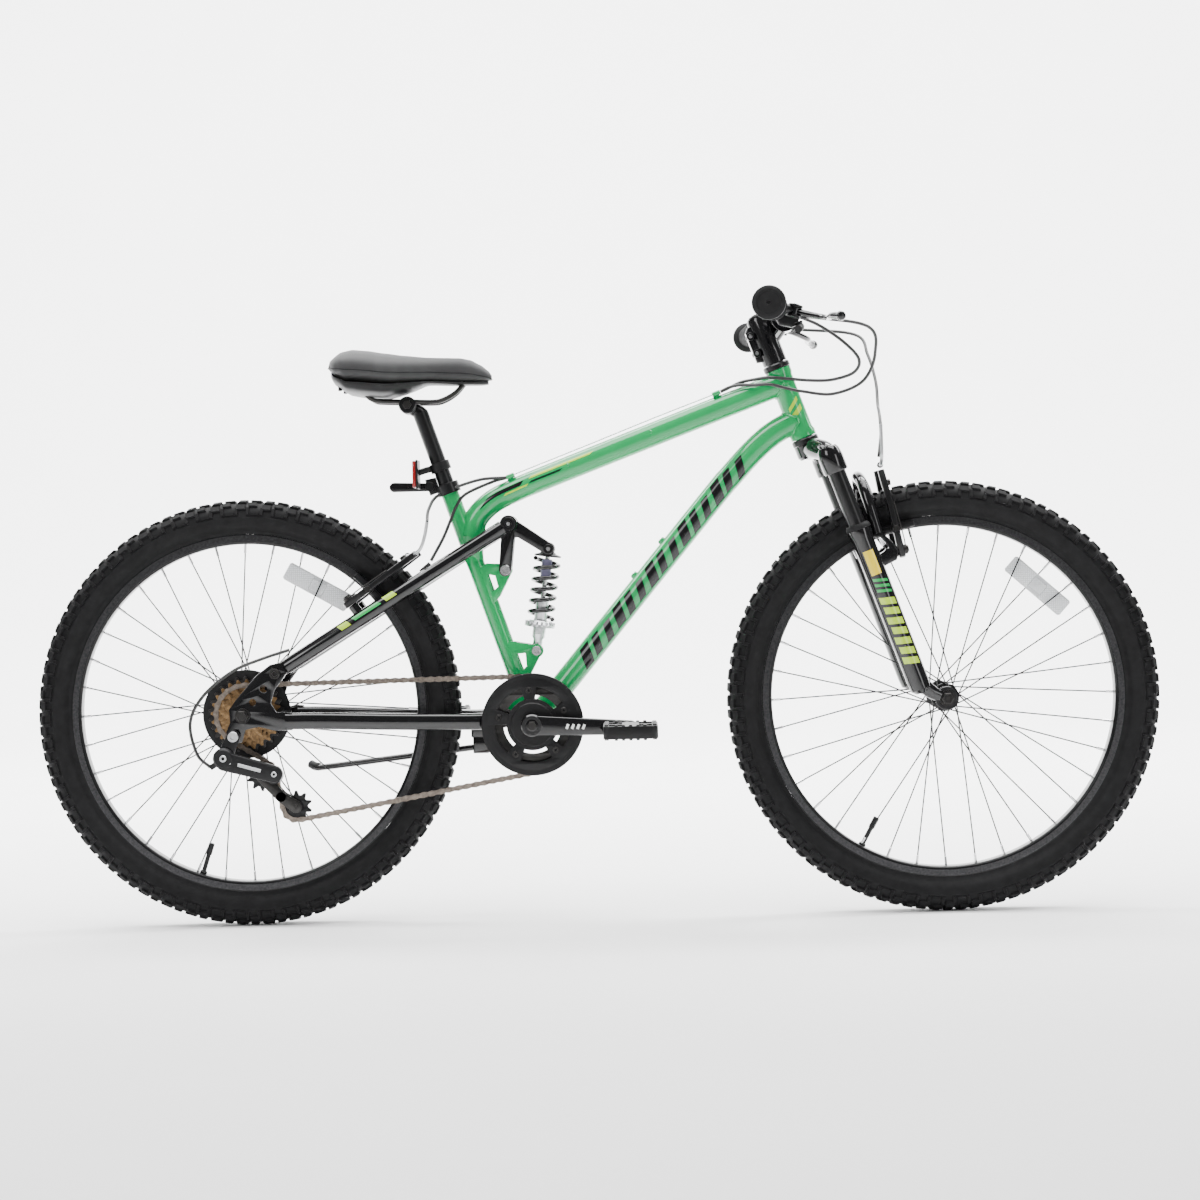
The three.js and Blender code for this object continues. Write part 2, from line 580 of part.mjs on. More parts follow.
function buildSaddle() {
  piece('seat_clamp', seatClamp(), BLACK_ALLOY);
  piece('seat_clamp_lever', seatClampLever(), BLACK_ALLOY);
  piece('seat_post', seatPost(), BLACK_PAINT);
  piece('saddle_pad', saddlePad(), PAD_COVER);
  piece('saddle_base', saddleBase(), BLACK_PLASTIC);
  piece('rear_reflector', rearReflector(), RED_PRISM);
}

// ---------------------------------------------------------------------------
// Fork, in the steering group
// ---------------------------------------------------------------------------

const LEG_X = 20;
const LEG_Y = 60;
const STANCHION_RADIUS = 12.7;
const LEG_RADIUS = 15.5;
const LEG_TOP_Z = -146;
const LEG_BOTTOM_Z = -396;
const STEERER_RADIUS = 12.7;
const STEERER_TOP_Z = HEAD_TUBE_LENGTH + 74;
const BRAKE_PIVOT_X = 69;
const BRAKE_PIVOT_Z = -199;
const BRAKE_PIVOT_Y = 40;

function forkCrown() {
  const steerer = rod(V(0, 0, -24), V(0, 0, STEERER_TOP_Z), STEERER_RADIUS, 10);
  const seat = rod(V(0, 0, -30), V(0, 0, -9 - GAP), 19, 12);
  const legs = bothSides((side) => join([
    rod(V(2, side * 6, -22), V(LEG_X, side * LEG_Y, -38), 14, 8, 15),
    rod(V(LEG_X, side * LEG_Y, -63), V(LEG_X, side * LEG_Y, -24), 18, 10, 16),
    rod(V(LEG_X, side * LEG_Y, -325), V(LEG_X, side * LEG_Y, -60), STANCHION_RADIUS, 12),
  ]));
  return join([steerer, seat, legs]);
}

function forkLowers() {
  const legs = bothSides((side) => {
    const onLeg = (z) => V(LEG_X, side * LEG_Y, z);
    const leg = rod(onLeg(LEG_BOTTOM_Z), onLeg(LEG_TOP_Z), LEG_RADIUS, 10);
    const collar = rod(onLeg(LEG_TOP_Z - 4), onLeg(LEG_TOP_Z + 4), 18, 10);
    const webY = sideRange(side, 34, LEG_Y - 4);
    const web = plate([[LEG_X, -152], [46, -156], [62, -196], [60, -210], [LEG_X, -212]], ...webY);
    const boss = rod(V(52, side * BRAKE_PIVOT_Y, -197.7), V(62, side * BRAKE_PIVOT_Y, -199), 8, 8);
    const foot = rod(V(LEG_X + 3, side * (LEG_Y - 3), LEG_BOTTOM_Z + 14),
      V(AXLE_IN_STEERING.x - 12, side * (FRONT_HUB_HALF + 5), AXLE_IN_STEERING.z + 7), 11, 8, 8);
    const lugY = sideRange(side, FRONT_HUB_HALF, FRONT_HUB_HALF + DROPOUT_PLATE);
    const lug = crossRod(AXLE_IN_STEERING, ...lugY, 17, 10);
    return join([leg, collar, web, boss, foot, lug]);
  });
  const arch = sweep([
    V(44, -52, -165), V(47, -50, -125), V(50, -36, -92), V(51, 0, -80),
    V(50, 36, -92), V(47, 50, -125), V(44, 52, -165),
  ], 8, 8, 8);
  const bores = [-1, 1].map((side) => rod(V(LEG_X, side * LEG_Y, LEG_BOTTOM_Z + 12),
    V(LEG_X, side * LEG_Y, LEG_TOP_Z + 10), STANCHION_RADIUS + 0.5, 12));
  const axleBore = crossRod(
    AXLE_IN_STEERING, -FRONT_HUB_HALF - 9, FRONT_HUB_HALF + 9, AXLE_RADIUS + GAP, 12);
  const hubSpace = crossRod(AXLE_IN_STEERING, -FRONT_HUB_HALF, FRONT_HUB_HALF, 24, 10);
  return cut(join([legs, arch]), [...bores, axleBore, hubSpace]);
}

function buildFork() {
  piece('fork_crown', forkCrown(), BLACK_PAINT, steering);
  piece('fork_lowers', forkLowers(), BLACK_PAINT, steering);
}

// ---------------------------------------------------------------------------
// Cockpit, in the steering group
// ---------------------------------------------------------------------------

const BAR_RADIUS = 11.1;
const BAR_CLAMP_RADIUS = 12.7;
const STEM_CLAMP_LOW = HEAD_TUBE_LENGTH + 9 + GAP;
const BAR_CENTRE = V(STEM_REACH, 0, HEAD_TUBE_LENGTH + STEM_HEIGHT - 14);
const GRIP_CENTRE_LINE = (s) => V(-2, s * BAR_HALF, BAR_CENTRE.z + 11);
const BAR_BEND = (s) => V(22, s * 80, BAR_CENTRE.z + 14);
const onBar = (side, y) => {
  const inner = BAR_BEND(side);
  const outer = GRIP_CENTRE_LINE(side);
  return inner.lerp(outer, (y - 80) / (BAR_HALF - 80));
};

function stem() {
  const clamp = rod(V(0, 0, STEM_CLAMP_LOW), V(0, 0, STEERER_TOP_Z + 6), 17.5, 10);
  const bolts = [0.35, 0.75].map((part) => {
    const z = STEM_CLAMP_LOW + part * (STEERER_TOP_Z - STEM_CLAMP_LOW);
    return rod(V(-20, -15, z), V(-20, 15, z), 6, 8);
  });
  const ears = box(-24, -8, -9, 9, STEM_CLAMP_LOW + 10, STEERER_TOP_Z - 4);
  const arms = [[STEERER_TOP_Z - 10, 9], [STEERER_TOP_Z - 36, -9]].map(([z, rise]) => rod(
    V(4, 0, z), V(BAR_CENTRE.x - 4, 0, BAR_CENTRE.z + rise), 8, 8));
  const barClamp = crossRod(BAR_CENTRE, -21, 21, 19, 10);
  const bores = [
    rod(V(0, 0, STEM_CLAMP_LOW - 2), V(0, 0, STEERER_TOP_Z + GAP), STEERER_RADIUS + GAP, 10),
    crossRod(BAR_CENTRE, -24, 24, BAR_CLAMP_RADIUS + GAP, 12),
  ];
  return cut(join([clamp, ears, ...bolts, ...arms, barClamp]), bores);
}

function handlebar() {
  const middle = crossRod(BAR_CENTRE, -26, 26, BAR_CLAMP_RADIUS, 12);
  const bends = bothSides((s) => sweep([
    V(BAR_CENTRE.x, s * 20, BAR_CENTRE.z), V(BAR_CENTRE.x, s * 34, BAR_CENTRE.z + 0.5),
    V(28, s * 60, BAR_CENTRE.z + 11), onBar(s, 84), onBar(s, 100),
  ], BAR_RADIUS, 8, 6));
  const ends = bothSides((s) => rod(onBar(s, 92), onBar(s, BAR_HALF), BAR_RADIUS, 8));
  return join([middle, bends, ends]);
}

// A grip slides over the bar's end: a ribbed sleeve, a flange inboard and a
// closed, domed end.
function grip(side) {
  const start = onBar(side, BAR_HALF - 122);
  const end = onBar(side, BAR_HALF + 4);
  const flange = rod(start, onBar(side, BAR_HALF - 116), 20, 10);
  const sleeve = rod(start, end, 15.5, 10);
  const cap = rod(onBar(side, BAR_HALF - 4), end, 23, 10, 19);
  const bore = rod(onBar(side, BAR_HALF - 124), onBar(side, BAR_HALF + 1), BAR_RADIUS + GAP, 8);
  return cut(join([flange, sleeve, cap]), [bore]);
}

const LEVER_PIVOT = (s) => onBar(s, 150).add(V(30, 0, 2));
const LEVER_PITCH = 36;                // degrees that the brake levers turn down about the bar

function pitchedDown(body, side) {
  const centre = onBar(side, 150);
  const levelled = body.translate(centre.clone().negate().toArray());
  return levelled.rotate([0, LEVER_PITCH, 0]).translate(centre.toArray());
}

// A point of a brake lever's group, once the group is pitched down.
function pitchedPoint(point, side) {
  const centre = onBar(side, 150);
  return point.sub(centre).applyAxisAngle(V(0, 1, 0), LEVER_PITCH * Math.PI / 180).add(centre);
}

function leverPerch(side) {
  const near = (x, y, z) => LEVER_PIVOT(side).add(V(x, side * y, z));
  const ring = rod(onBar(side, 142), onBar(side, 160), 15.5, 10);
  const arm = rod(onBar(side, 151).add(V(10, 0, 0)), near(-9, -8, 0), 8, 10);
  const cheeks = rod(near(0, -8, -9), near(0, -8, 9), 10, 8);
  const block = box(-10, 5, -26, -16.8, -8, 8).scale([1, side, 1]).translate(LEVER_PIVOT(side).toArray());
  const barrel = rod(near(-1, -20, 0), near(16, -40, 0), 5, 8);
  const knuckleSpace = rod(near(0, -8, -5.3), near(0, -8, 5.3), 8.5, 8);
  const bladeSpace = box(-6, 30, -5.3, 30, -5.3, 5.3).scale([1, side, 1])
    .translate(near(0, -8, 0).toArray());
  const bore = rod(onBar(side, 138), onBar(side, 164), BAR_RADIUS + GAP, 8);
  const body = pitchedDown(cut(join([arm, cheeks, block, barrel]), [knuckleSpace, bladeSpace]), side);
  return cut(join([ring, body]), [bore]);
}

function leverBlade(side) {
  const pivot = LEVER_PIVOT(side).add(V(0, -side * 8, 0));
  const knuckle = rod(pivot.clone().add(V(0, 0, -5)), pivot.clone().add(V(0, 0, 5)), 7, 8);
  const fromPivot = (x, y, z) => pivot.clone().add(V(x, side * y, z));
  const blade = sweep([
    fromPivot(3, 2, 0), fromPivot(24, 15, -1), fromPivot(44, 42, -2), fromPivot(46, 80, -2),
    fromPivot(56, 104, -2),
  ], 5, 6, 6);
  const tip = rod(fromPivot(56, 103, -2), fromPivot(58, 112, -2), 7, 10);
  return pitchedDown(join([knuckle, blade, tip]), side);
}

const SHIFTER_Y = 108;

function shifterPod() {
  const ring = rod(onBar(-1, SHIFTER_Y - 6.5), onBar(-1, SHIFTER_Y + 6.5), 15.5, 10);
  const centre = onBar(-1, SHIFTER_Y);
  const outline = [[2, -13], [26, -13], [26, -30], [12, -34], [-6, -20]]
    .map(([x, z]) => [centre.x + x, centre.z + z]);
  const pod = plate(outline, centre.y - 4, centre.y + 15);
  const bore = rod(onBar(-1, SHIFTER_Y - 20), onBar(-1, SHIFTER_Y + 20), BAR_RADIUS + GAP, 8);
  return cut(join([ring, pod]), [bore]);
}

function shifterLever() {
  const centre = onBar(-1, SHIFTER_Y);
  const near = (x, y, z) => centre.clone().add(V(x, y, z));
  const hub = rod(near(20, 0, -37), near(19, 0, -33.4), 9, 10);
  const thumb = rod(near(20, 0, -36), near(16, -34, -42), 4, 6, 6);
  return join([hub, thumb]);
}

function buildCockpit() {
  piece('stem', stem(), BLACK_ALLOY, steering);
  piece('handlebar', handlebar(), BLACK_PAINT, steering);
  for (const [name, side] of [['right', -1], ['left', 1]]) {
    piece(`grip_${name}`, grip(side), RUBBER, steering);
    piece(`brake_perch_${name}`, leverPerch(side), BLACK_ALLOY, steering);
    piece(`brake_lever_${name}`, leverBlade(side), BLACK_ALLOY, steering);
  }
  piece('shifter_pod', shifterPod(), BLACK_PLASTIC, steering);
  piece('shifter_lever', shifterLever(), BLACK_PLASTIC, steering);
}

// ---------------------------------------------------------------------------
// Rim brakes. Each arm is built standing at its pivot: +Z runs up the arm and
// +X along the pivot stud, away from the fork leg or the stay. side is the
// local Y side.
// ---------------------------------------------------------------------------

const ARM_LENGTH = 118;
const PAD_HEIGHT = 32;
const PAD_INNER_Y = RIM_HALF_WIDTH + 2;

function brakeArm(side, padTilt) {
  const out = (y) => side * y;
  const outline = [
    [out(BRAKE_PIVOT_Y + 8), -10], [out(BRAKE_PIVOT_Y - 8), -10], [out(BRAKE_PIVOT_Y - 8), 14],
    [out(39), 50], [out(33), 90], [out(24), ARM_LENGTH], [out(35), ARM_LENGTH], [out(45), 92], [out(51), 48],
  ];
  const shape = new THREE.Shape(outline.map(([y, z]) => new THREE.Vector2(y, z)));
  const geometry = new THREE.ExtrudeGeometry(shape, { depth: 9, bevelEnabled: false });
  geometry.rotateX(Math.PI / 2);
  geometry.rotateZ(Math.PI / 2);
  geometry.translate(0.5, 0, 0);
  const arm = solid(geometry);
  const stud = rod(V(0.6, out(BRAKE_PIVOT_Y), 0), V(15, out(BRAKE_PIVOT_Y), 0), 7, 10);
  const padStud = rod(V(5, out(PAD_INNER_Y + 5), PAD_HEIGHT), V(5, out(52), PAD_HEIGHT), 3.5, 10);
  const pad = box(-29, 29, Math.min(out(PAD_INNER_Y), out(PAD_INNER_Y + 9)),
    Math.max(out(PAD_INNER_Y), out(PAD_INNER_Y + 9)), -4.5, 4.5)
    .rotate([0, padTilt, 0]).translate([5, 0, PAD_HEIGHT]);
  return join([arm, stud, padStud, pad]);
}

const frontBrake = new THREE.Group();
frontBrake.position.set(BRAKE_PIVOT_X - 7, 0, BRAKE_PIVOT_Z);
frontBrake.rotation.y = 7.5 * Math.PI / 180;
steering.add(frontBrake);

const STAY_ANGLE = Math.atan2(ROCKER_TOP.z - STAY_PIVOT.z, ROCKER_TOP.x - STAY_PIVOT.x);
const rearBrake = new THREE.Group();
rearBrake.position.set(-342.5, 0, 462.5);
const REAR_ARM_ANGLE = STAY_ANGLE + 0.07;
rearBrake.setRotationFromMatrix(new THREE.Matrix4().makeBasis(
  V(-Math.sin(REAR_ARM_ANGLE), 0, Math.cos(REAR_ARM_ANGLE)), V(0, -1, 0),
  V(Math.cos(REAR_ARM_ANGLE), 0, Math.sin(REAR_ARM_ANGLE))));
bike.add(rearBrake);

function buildBrakes() {
  piece('front_brake_arm_right', brakeArm(-1, -2), BLACK_ALLOY, frontBrake);
  piece('front_brake_arm_left', brakeArm(1, -2), BLACK_ALLOY, frontBrake);
  piece('rear_brake_arm_right', brakeArm(1, 9), BLACK_ALLOY, rearBrake);
  piece('rear_brake_arm_left', brakeArm(-1, 9), BLACK_ALLOY, rearBrake);
}

// ---------------------------------------------------------------------------
// Rear suspension
// ---------------------------------------------------------------------------

const ROCKER_INNER_Y = 13;
const ROCKER_OUTER_Y = 17;
const STAY_LUG_INNER_Y = 18;
const STAY_LUG_OUTER_Y = 30;

function dropout(side) {
  const [y0, y1] = sideRange(side, REAR_HUB_HALF, REAR_HUB_HALF + DROPOUT_PLATE);
  const outline = [
    [-446, 383], [-436, 371], [-455, 345], [-461, 325], [-452, 312], [-432, 312], [-432, 287], [-456, 287],
    [-478, 293], [-498, 289], [-504, 272], [-522, 272], [-524, 287], [-519, 300], [-520, 318], [-510, 330],
    [-476, 366],
  ];
  const windows = [
    crossRod(V(-470, 0, 347), y0 - 1, y1 + 1, 5.5, 10), crossRod(V(-486, 0, 328), y0 - 1, y1 + 1, 5, 10),
    crossRod(STAY_PIVOT, y0 - 1, y1 + 1, SMALL_BOLT_BORE, 10),
    crossRod(REAR_AXLE, y0 - 1, y1 + 1, AXLE_RADIUS + GAP, 12),
  ];
  return cut(plate(outline, y0, y1), windows);
}

function swingarm() {
  const arms = bothSides((s) => flatSweep([
    V(-129, s * 31.5, 294), V(-158, s * 33.5, 290.5), V(-205, s * 42, 291.5), V(-300, s * 56, 295),
    V(-390, s * 67, 299), V(-446, s * 69.5, 300),
  ], 12, 0.62, 8, 5));
  const eyes = bothSides((s) => crossRod(MAIN_PIVOT, s < 0 ? -38.5 : 26, s < 0 ? -26 : 38.5, 14, 10));
  const bridge = rod(V(-163, -36, 290.5), V(-163, 36, 290.5), 9, 10);
  const plates = bothSides((s) => dropout(s));
  const standBracket = join([
    box(-182, -152, 34, 48, 262, 281), box(-180, -156, 40, 50, 238, 266),
  ]);
  const bores = [
    crossRod(MAIN_PIVOT, -42, 42, PIVOT_BOLT_RADIUS + GAP, 12),
    crossRod(MAIN_PIVOT, -25.6, 25.6, 16, 10),
    crossRod(V(-168, 0, 247), 39, 60, 5.3, 8),
    crossRod(MAIN_PIVOT, -46, -38.5, 10, 8),
    crossRod(MAIN_PIVOT, 38.5, 46, 10, 8),
  ];
  return cut(join([arms, eyes, bridge, plates, standBracket]), bores);
}

// The two stays with their bridge over the tyre, the brake bosses and the lugs
// that take the rocker. The lugs' holes leave room round the rocker's bolt.
function seatstays() {
  const lean = V(Math.cos(STAY_ANGLE), 0, Math.sin(STAY_ANGLE));
  const at = (distance, y) => STAY_PIVOT.clone().addScaledVector(lean, distance).setY(y);
  const tubes = bothSides((s) => sweep([
    at(18, s * 61), at(75, s * 60), at(180, s * 51), at(250, s * 45), at(320, s * 35), at(384, s * 25.5),
  ], 10.8, 8, 5));
  const feet = bothSides((s) => strap(
    [STAY_PIVOT, at(26, 0)], 9.5, ...sideRange(s, REAR_HUB_HALF - GAP - 6, REAR_HUB_HALF - GAP)));
  const bolts = bothSides((s) => crossRod(
    STAY_PIVOT, ...sideRange(s, REAR_HUB_HALF - 4, REAR_HUB_HALF + 10), SMALL_BOLT_RADIUS, 10));
  const heads = bothSides((s) => crossRod(
    STAY_PIVOT, ...sideRange(s, REAR_HUB_HALF + DROPOUT_PLATE + GAP, REAR_HUB_HALF + 10), 7.5, 10));
  const bridge = rod(at(262, -46), at(262, 46), 7, 8);
  const bosses = bothSides((s) => rod(
    V(-325.2, s * BRAKE_PIVOT_Y, 438), V(-342.5, s * BRAKE_PIVOT_Y, 462.5), 7.5, 8));
  const lugs = bothSides((s) => crossRod(
    ROCKER_TOP, ...sideRange(s, STAY_LUG_INNER_Y, STAY_LUG_OUTER_Y), 12.5, 10));
  const clearance = [
    crossRod(ROCKER_TOP, -STAY_LUG_OUTER_Y - 9, STAY_LUG_OUTER_Y + 9, 8, 10),
    crossRod(ROCKER_TOP, -STAY_LUG_OUTER_Y - 12, -STAY_LUG_OUTER_Y, 12.5, 12),
    crossRod(ROCKER_TOP, STAY_LUG_OUTER_Y, STAY_LUG_OUTER_Y + 12, 12.5, 12),
    crossRod(ROCKER_TOP, -STAY_LUG_INNER_Y + 0.05, STAY_LUG_INNER_Y - 0.05, 34, 12),
  ];
  return cut(join([tubes, feet, bolts, heads, bridge, bosses, lugs]), clearance);
}

function rocker() {
  const plates = bothSides((s) => {
    const [y0, y1] = sideRange(s, ROCKER_INNER_Y, ROCKER_OUTER_Y);
    const sheet = join([
      strap([ROCKER_FRAME_PIVOT, ROCKER_TOP], 8.5, y0, y1),
      strap([ROCKER_TOP, SHOCK_TOP_EYE], 8.5, y0, y1),
    ]);
    return sheet.subtract(crossRod(ROCKER_FRAME_PIVOT, y0 - 1, y1 + 1, SMALL_BOLT_BORE, 12));
  });
  const topBolt = crossRod(ROCKER_TOP, -STAY_LUG_OUTER_Y - 4, STAY_LUG_OUTER_Y + 4, 4.5, 10);
  const heads = bothSides((s) => crossRod(
    ROCKER_TOP, ...sideRange(s, STAY_LUG_OUTER_Y + 1, STAY_LUG_OUTER_Y + 6), 10.5, 10));
  const eyeBolt = crossRod(SHOCK_TOP_EYE, -ROCKER_OUTER_Y - 4, ROCKER_OUTER_Y + 4, SMALL_BOLT_RADIUS, 10);
  return join([plates, topBolt, heads, eyeBolt]);
}

const SHOCK_LEAN = SHOCK_TOP_EYE.clone().sub(SHOCK_LOW_EYE).normalize();
const onShock = (distance) => SHOCK_LOW_EYE.clone().addScaledVector(SHOCK_LEAN, distance);
const SPRING_LOW = 47;
const SPRING_HIGH = 133;
const SPRING_RADIUS = 17.2;
const SPRING_WIRE = 3.2;
const SPRING_TURNS = 5.5;

function shockBody() {
  const eye = crossRod(SHOCK_LOW_EYE, -8.3, 8.3, 10, 10);
  const bolt = pivotBolt(SHOCK_LOW_EYE, GUSSET_OUTER_Y, SMALL_BOLT_RADIUS, 7, 4);
  const neck = rod(onShock(4), onShock(18), 7, 8);
  const barrel = rod(onShock(14), onShock(76), 9.5, 10);
  const ring = rod(onShock(SPRING_LOW - 13), onShock(SPRING_LOW - SPRING_WIRE - GAP), 21.5, 12);
  const shaftBore = rod(onShock(20), onShock(80), 4.2, 8);
  return cut(join([eye, bolt, neck, barrel, ring]), [shaftBore]);
}

function shockShaft() {
  const length = 148;
  const eye = crossRod(SHOCK_TOP_EYE, -12.3, 12.3, 9.5, 10);
  const shaft = rod(onShock(52), onShock(length - 3), 3.6, 8);
  const seatStart = SPRING_HIGH + SPRING_WIRE + GAP;
  const seat = join([
    rod(onShock(seatStart), onShock(seatStart + 2.5), 19.5, 12),
    rod(onShock(seatStart + 2), onShock(length - 4), 12, 10, 10),
  ]);
  const bumper = rod(onShock(104), onShock(SPRING_HIGH), 7.5, 10);
  const bore = crossRod(SHOCK_TOP_EYE, -14, 14, 6, 12);
  return cut(join([eye, shaft, seat, bumper]), [bore]);
}

function shockSpring() {
  class Coil extends THREE.Curve {
    getPoint(t, target = new THREE.Vector3()) {
      const angle = 2 * Math.PI * SPRING_TURNS * t;
      const height = SPRING_LOW + (SPRING_HIGH - SPRING_LOW) * t;
      return target.set(SPRING_RADIUS * Math.cos(angle), SPRING_RADIUS * Math.sin(angle), height);
    }
  }
  const section = new THREE.Shape();
  section.absarc(0, 0, SPRING_WIRE, 0, 2 * Math.PI, false);
  const geometry = new THREE.ExtrudeGeometry(section, {
    steps: Math.round(SPRING_TURNS * 10), bevelEnabled: false, curveSegments: 3, extrudePath: new Coil(),
  });
  geometry.rotateY(Math.atan2(SHOCK_LEAN.x, SHOCK_LEAN.z));
  geometry.translate(...SHOCK_LOW_EYE.toArray());
  return solid(geometry);
}

function pivotBolt(place, half, radius, headRadius, headDepth) {
  const heads = [
    crossRod(place, -half - headDepth, -half - GAP, headRadius, 10),
    crossRod(place, half + GAP, half + headDepth, headRadius, 10),
  ];
  return join([crossRod(place, -half - 1, half + 1, radius, 12), ...heads]);
}

function buildSuspension() {
  piece('swingarm', swingarm(), BLACK_PAINT);
  piece('seatstays', seatstays(), BLACK_PAINT);
  piece('rocker', rocker(), BLACK_PAINT);
  piece('main_pivot_bolt', pivotBolt(MAIN_PIVOT, 38.5, PIVOT_BOLT_RADIUS, 8.5, 2.6), STEEL);
  piece('rocker_pivot_bolt', pivotBolt(ROCKER_FRAME_PIVOT, ROCKER_OUTER_Y, SMALL_BOLT_RADIUS, 7.5, 4), STEEL);
  piece('shock_body', shockBody(), ALLOY);
  piece('shock_shaft', shockShaft(), BLACK_ALLOY);
  piece('shock_spring', shockSpring(), BLACK_PAINT);
}

// ---------------------------------------------------------------------------
// Drive train
// ---------------------------------------------------------------------------

const GUARD_RADIUS = 73.3;
const PEDAL_PLACE = (s) => BOTTOM_BRACKET.clone().add(V(
  -s * CRANK_LENGTH * Math.cos(CRANK_ANGLE), 0, s * CRANK_LENGTH * Math.sin(CRANK_ANGLE)));
const ARM_INNER_Y = 64;
const ARM_OUTER_Y = 76;

function crankArm(side) {
  const end = PEDAL_PLACE(side);
  const [y0, y1] = sideRange(side, ARM_INNER_Y, ARM_OUTER_Y);
  const third = BOTTOM_BRACKET.clone().lerp(end, 0.35);
  const arm = join([
    strap([third, end], 9.5, y0, y1), strap([BOTTOM_BRACKET, third], 12, y0, y1),
  ]);
  const boss = crossRod(BOTTOM_BRACKET, ...sideRange(side, 44, ARM_OUTER_Y + 1), 16, 10);
  const pedalAxle = crossRod(end, ...sideRange(side, ARM_OUTER_Y - 1, 162), 4, 8);
  return join([arm, boss, pedalAxle]);
}

// The outline of a part of a ring between two radii and two angles.
function sector(inner, outer, from, to, steps) {
  const arc = (radius, turn) => Array.from({ length: steps + 1 }, (_, i) => {
    const angle = turn > 0 ? from + (to - from) * i / steps : to - (to - from) * i / steps;
    return [radius * Math.cos(angle), radius * Math.sin(angle)];
  });
  return [...arc(outer, 1), ...arc(inner, -1)];
}

function chainring() {
  const ring = sprocket(CHAINRING_TEETH, CHAINLINE - 1.1, CHAINLINE + 1.1, 42);
  const guard = turned([
    [31, -51], [31, -54], [GUARD_RADIUS, -54], [GUARD_RADIUS, -49.6], [GUARD_RADIUS - 5, -51],
  ], 24);
  const windows = [];
  const posts = [];
  for (let i = 0; i < 5; i += 1) {
    const angle = (i + 0.32) * 72 * Math.PI / 180;
    const middle = angle + 36 * Math.PI / 180;
    posts.push(crossRod(V(49 * Math.cos(angle), 0, 49 * Math.sin(angle)), -55, CHAINLINE + 1.1, 6, 6));
    windows.push(plate(sector(36, 53, middle - 0.42, middle + 0.42, 3), -58, -49));
  }
  const spider = turned([[16.5, -50], [16.5, -57], [32, -57], [32, -50]], 14);
  return moved(join([cut(guard, windows), spider, ring, ...posts]), BOTTOM_BRACKET);
}

function spindle(bodyWithSpindle) {
  return bodyWithSpindle.add(crossRod(BOTTOM_BRACKET, -58, 46, 7.6, 12));
}

const PEDAL_HALF_LENGTH = 38;
const PEDAL_HALF_HEIGHT = 11;

function pedal(side) {
  const place = PEDAL_PLACE(side);
  const [y0, y1] = sideRange(side, 82, 170);
  const cage = box(-PEDAL_HALF_LENGTH, PEDAL_HALF_LENGTH, y0, y1, -PEDAL_HALF_HEIGHT, PEDAL_HALF_HEIGHT);
  const middle = (y0 + y1) / 2;
  const windows = [];
  for (const x of [-1, 1]) {
    for (const y of [-1, 1]) {
      const [xa, xb] = x < 0 ? [-30, -12] : [12, 30];
      const [ya, yb] = y < 0 ? [y0 + 7, middle - 4] : [middle + 4, y1 - 7];
      windows.push(box(xa, xb, ya, yb, -PEDAL_HALF_HEIGHT - 1, PEDAL_HALF_HEIGHT + 1));
    }
  }
  const bore = crossRod(V(0, 0, 0), ...sideRange(side, 70, 163), 4.5, 8);
  return moved(cut(cage, [...windows, bore]), place);
}

// The sprocket nearest the wheel is toothed; the smaller ones, which it hides
// from inboard, are plain discs.
function freewheel() {
  const planeOf = (i) => CHAINLINE + SPROCKET_PITCH * (FREEWHEEL_TEETH.indexOf(WHEEL_SPROCKET_TEETH) - i);
  const half = SPROCKET_THICKNESS / 2;
  const profile = [[13.2, -65], [21, -65]];
  for (let i = FREEWHEEL_TEETH.length - 1; i > 0; i -= 1) {
    const tip = pitchRadiusOf(FREEWHEEL_TEETH[i]) + 2.6;
    const [low, high] = [planeOf(i) - half, planeOf(i) + half];
    profile.push([21, low], [tip, low], [tip, high], [21, high]);
  }
  profile.push([21, -31.4], [13.2, -31.4]);
  const largest = sprocket(FREEWHEEL_TEETH[0], planeOf(0) - half, planeOf(0) + half, 15);
  return moved(join([turned(profile, 12), largest]), REAR_AXLE);
}

const GUIDE_PULLEY = V(-479, 0, 221);
const TENSION_PULLEY = V(-431, 0, 175.5);

function pulley(place) {
  return moved(sprocket(PULLEY_TEETH, CHAINLINE - 1.1, CHAINLINE + 1.1, 4.2), place);
}

// Where the straight run between two wheels touches them. A turn is +1 where
// the chain goes round anticlockwise, seen from the drive side, and -1 where
// it goes round clockwise.
function tangent(a, radiusA, turnA, b, radiusB, turnB) {
  const across = b.clone().sub(a);
  const heading = Math.atan2(across.z, across.x);
  const lean = Math.asin((turnA * radiusA - turnB * radiusB) / across.length());
  const outward = heading + lean - Math.PI / 2;
  const touch = (centre, radius, turn) => V(centre.x + turn * radius * Math.cos(outward), 0,
    centre.z + turn * radius * Math.sin(outward));
  return [touch(a, radiusA, turnA), touch(b, radiusB, turnB)];
}

// Points round a wheel from one touching point to another.
function wrap(centre, radius, from, to, clockwise, steps) {
  const start = Math.atan2(from.z - centre.z, from.x - centre.x);
  let end = Math.atan2(to.z - centre.z, to.x - centre.x);
  while (clockwise && end > start) end -= 2 * Math.PI;
  while (!clockwise && end < start) end += 2 * Math.PI;
  const points = [];
  for (let i = 0; i <= steps; i += 1) {
    const angle = start + (end - start) * i / steps;
    points.push(V(centre.x + radius * Math.cos(angle), 0, centre.z + radius * Math.sin(angle)));
  }
  return points;
}

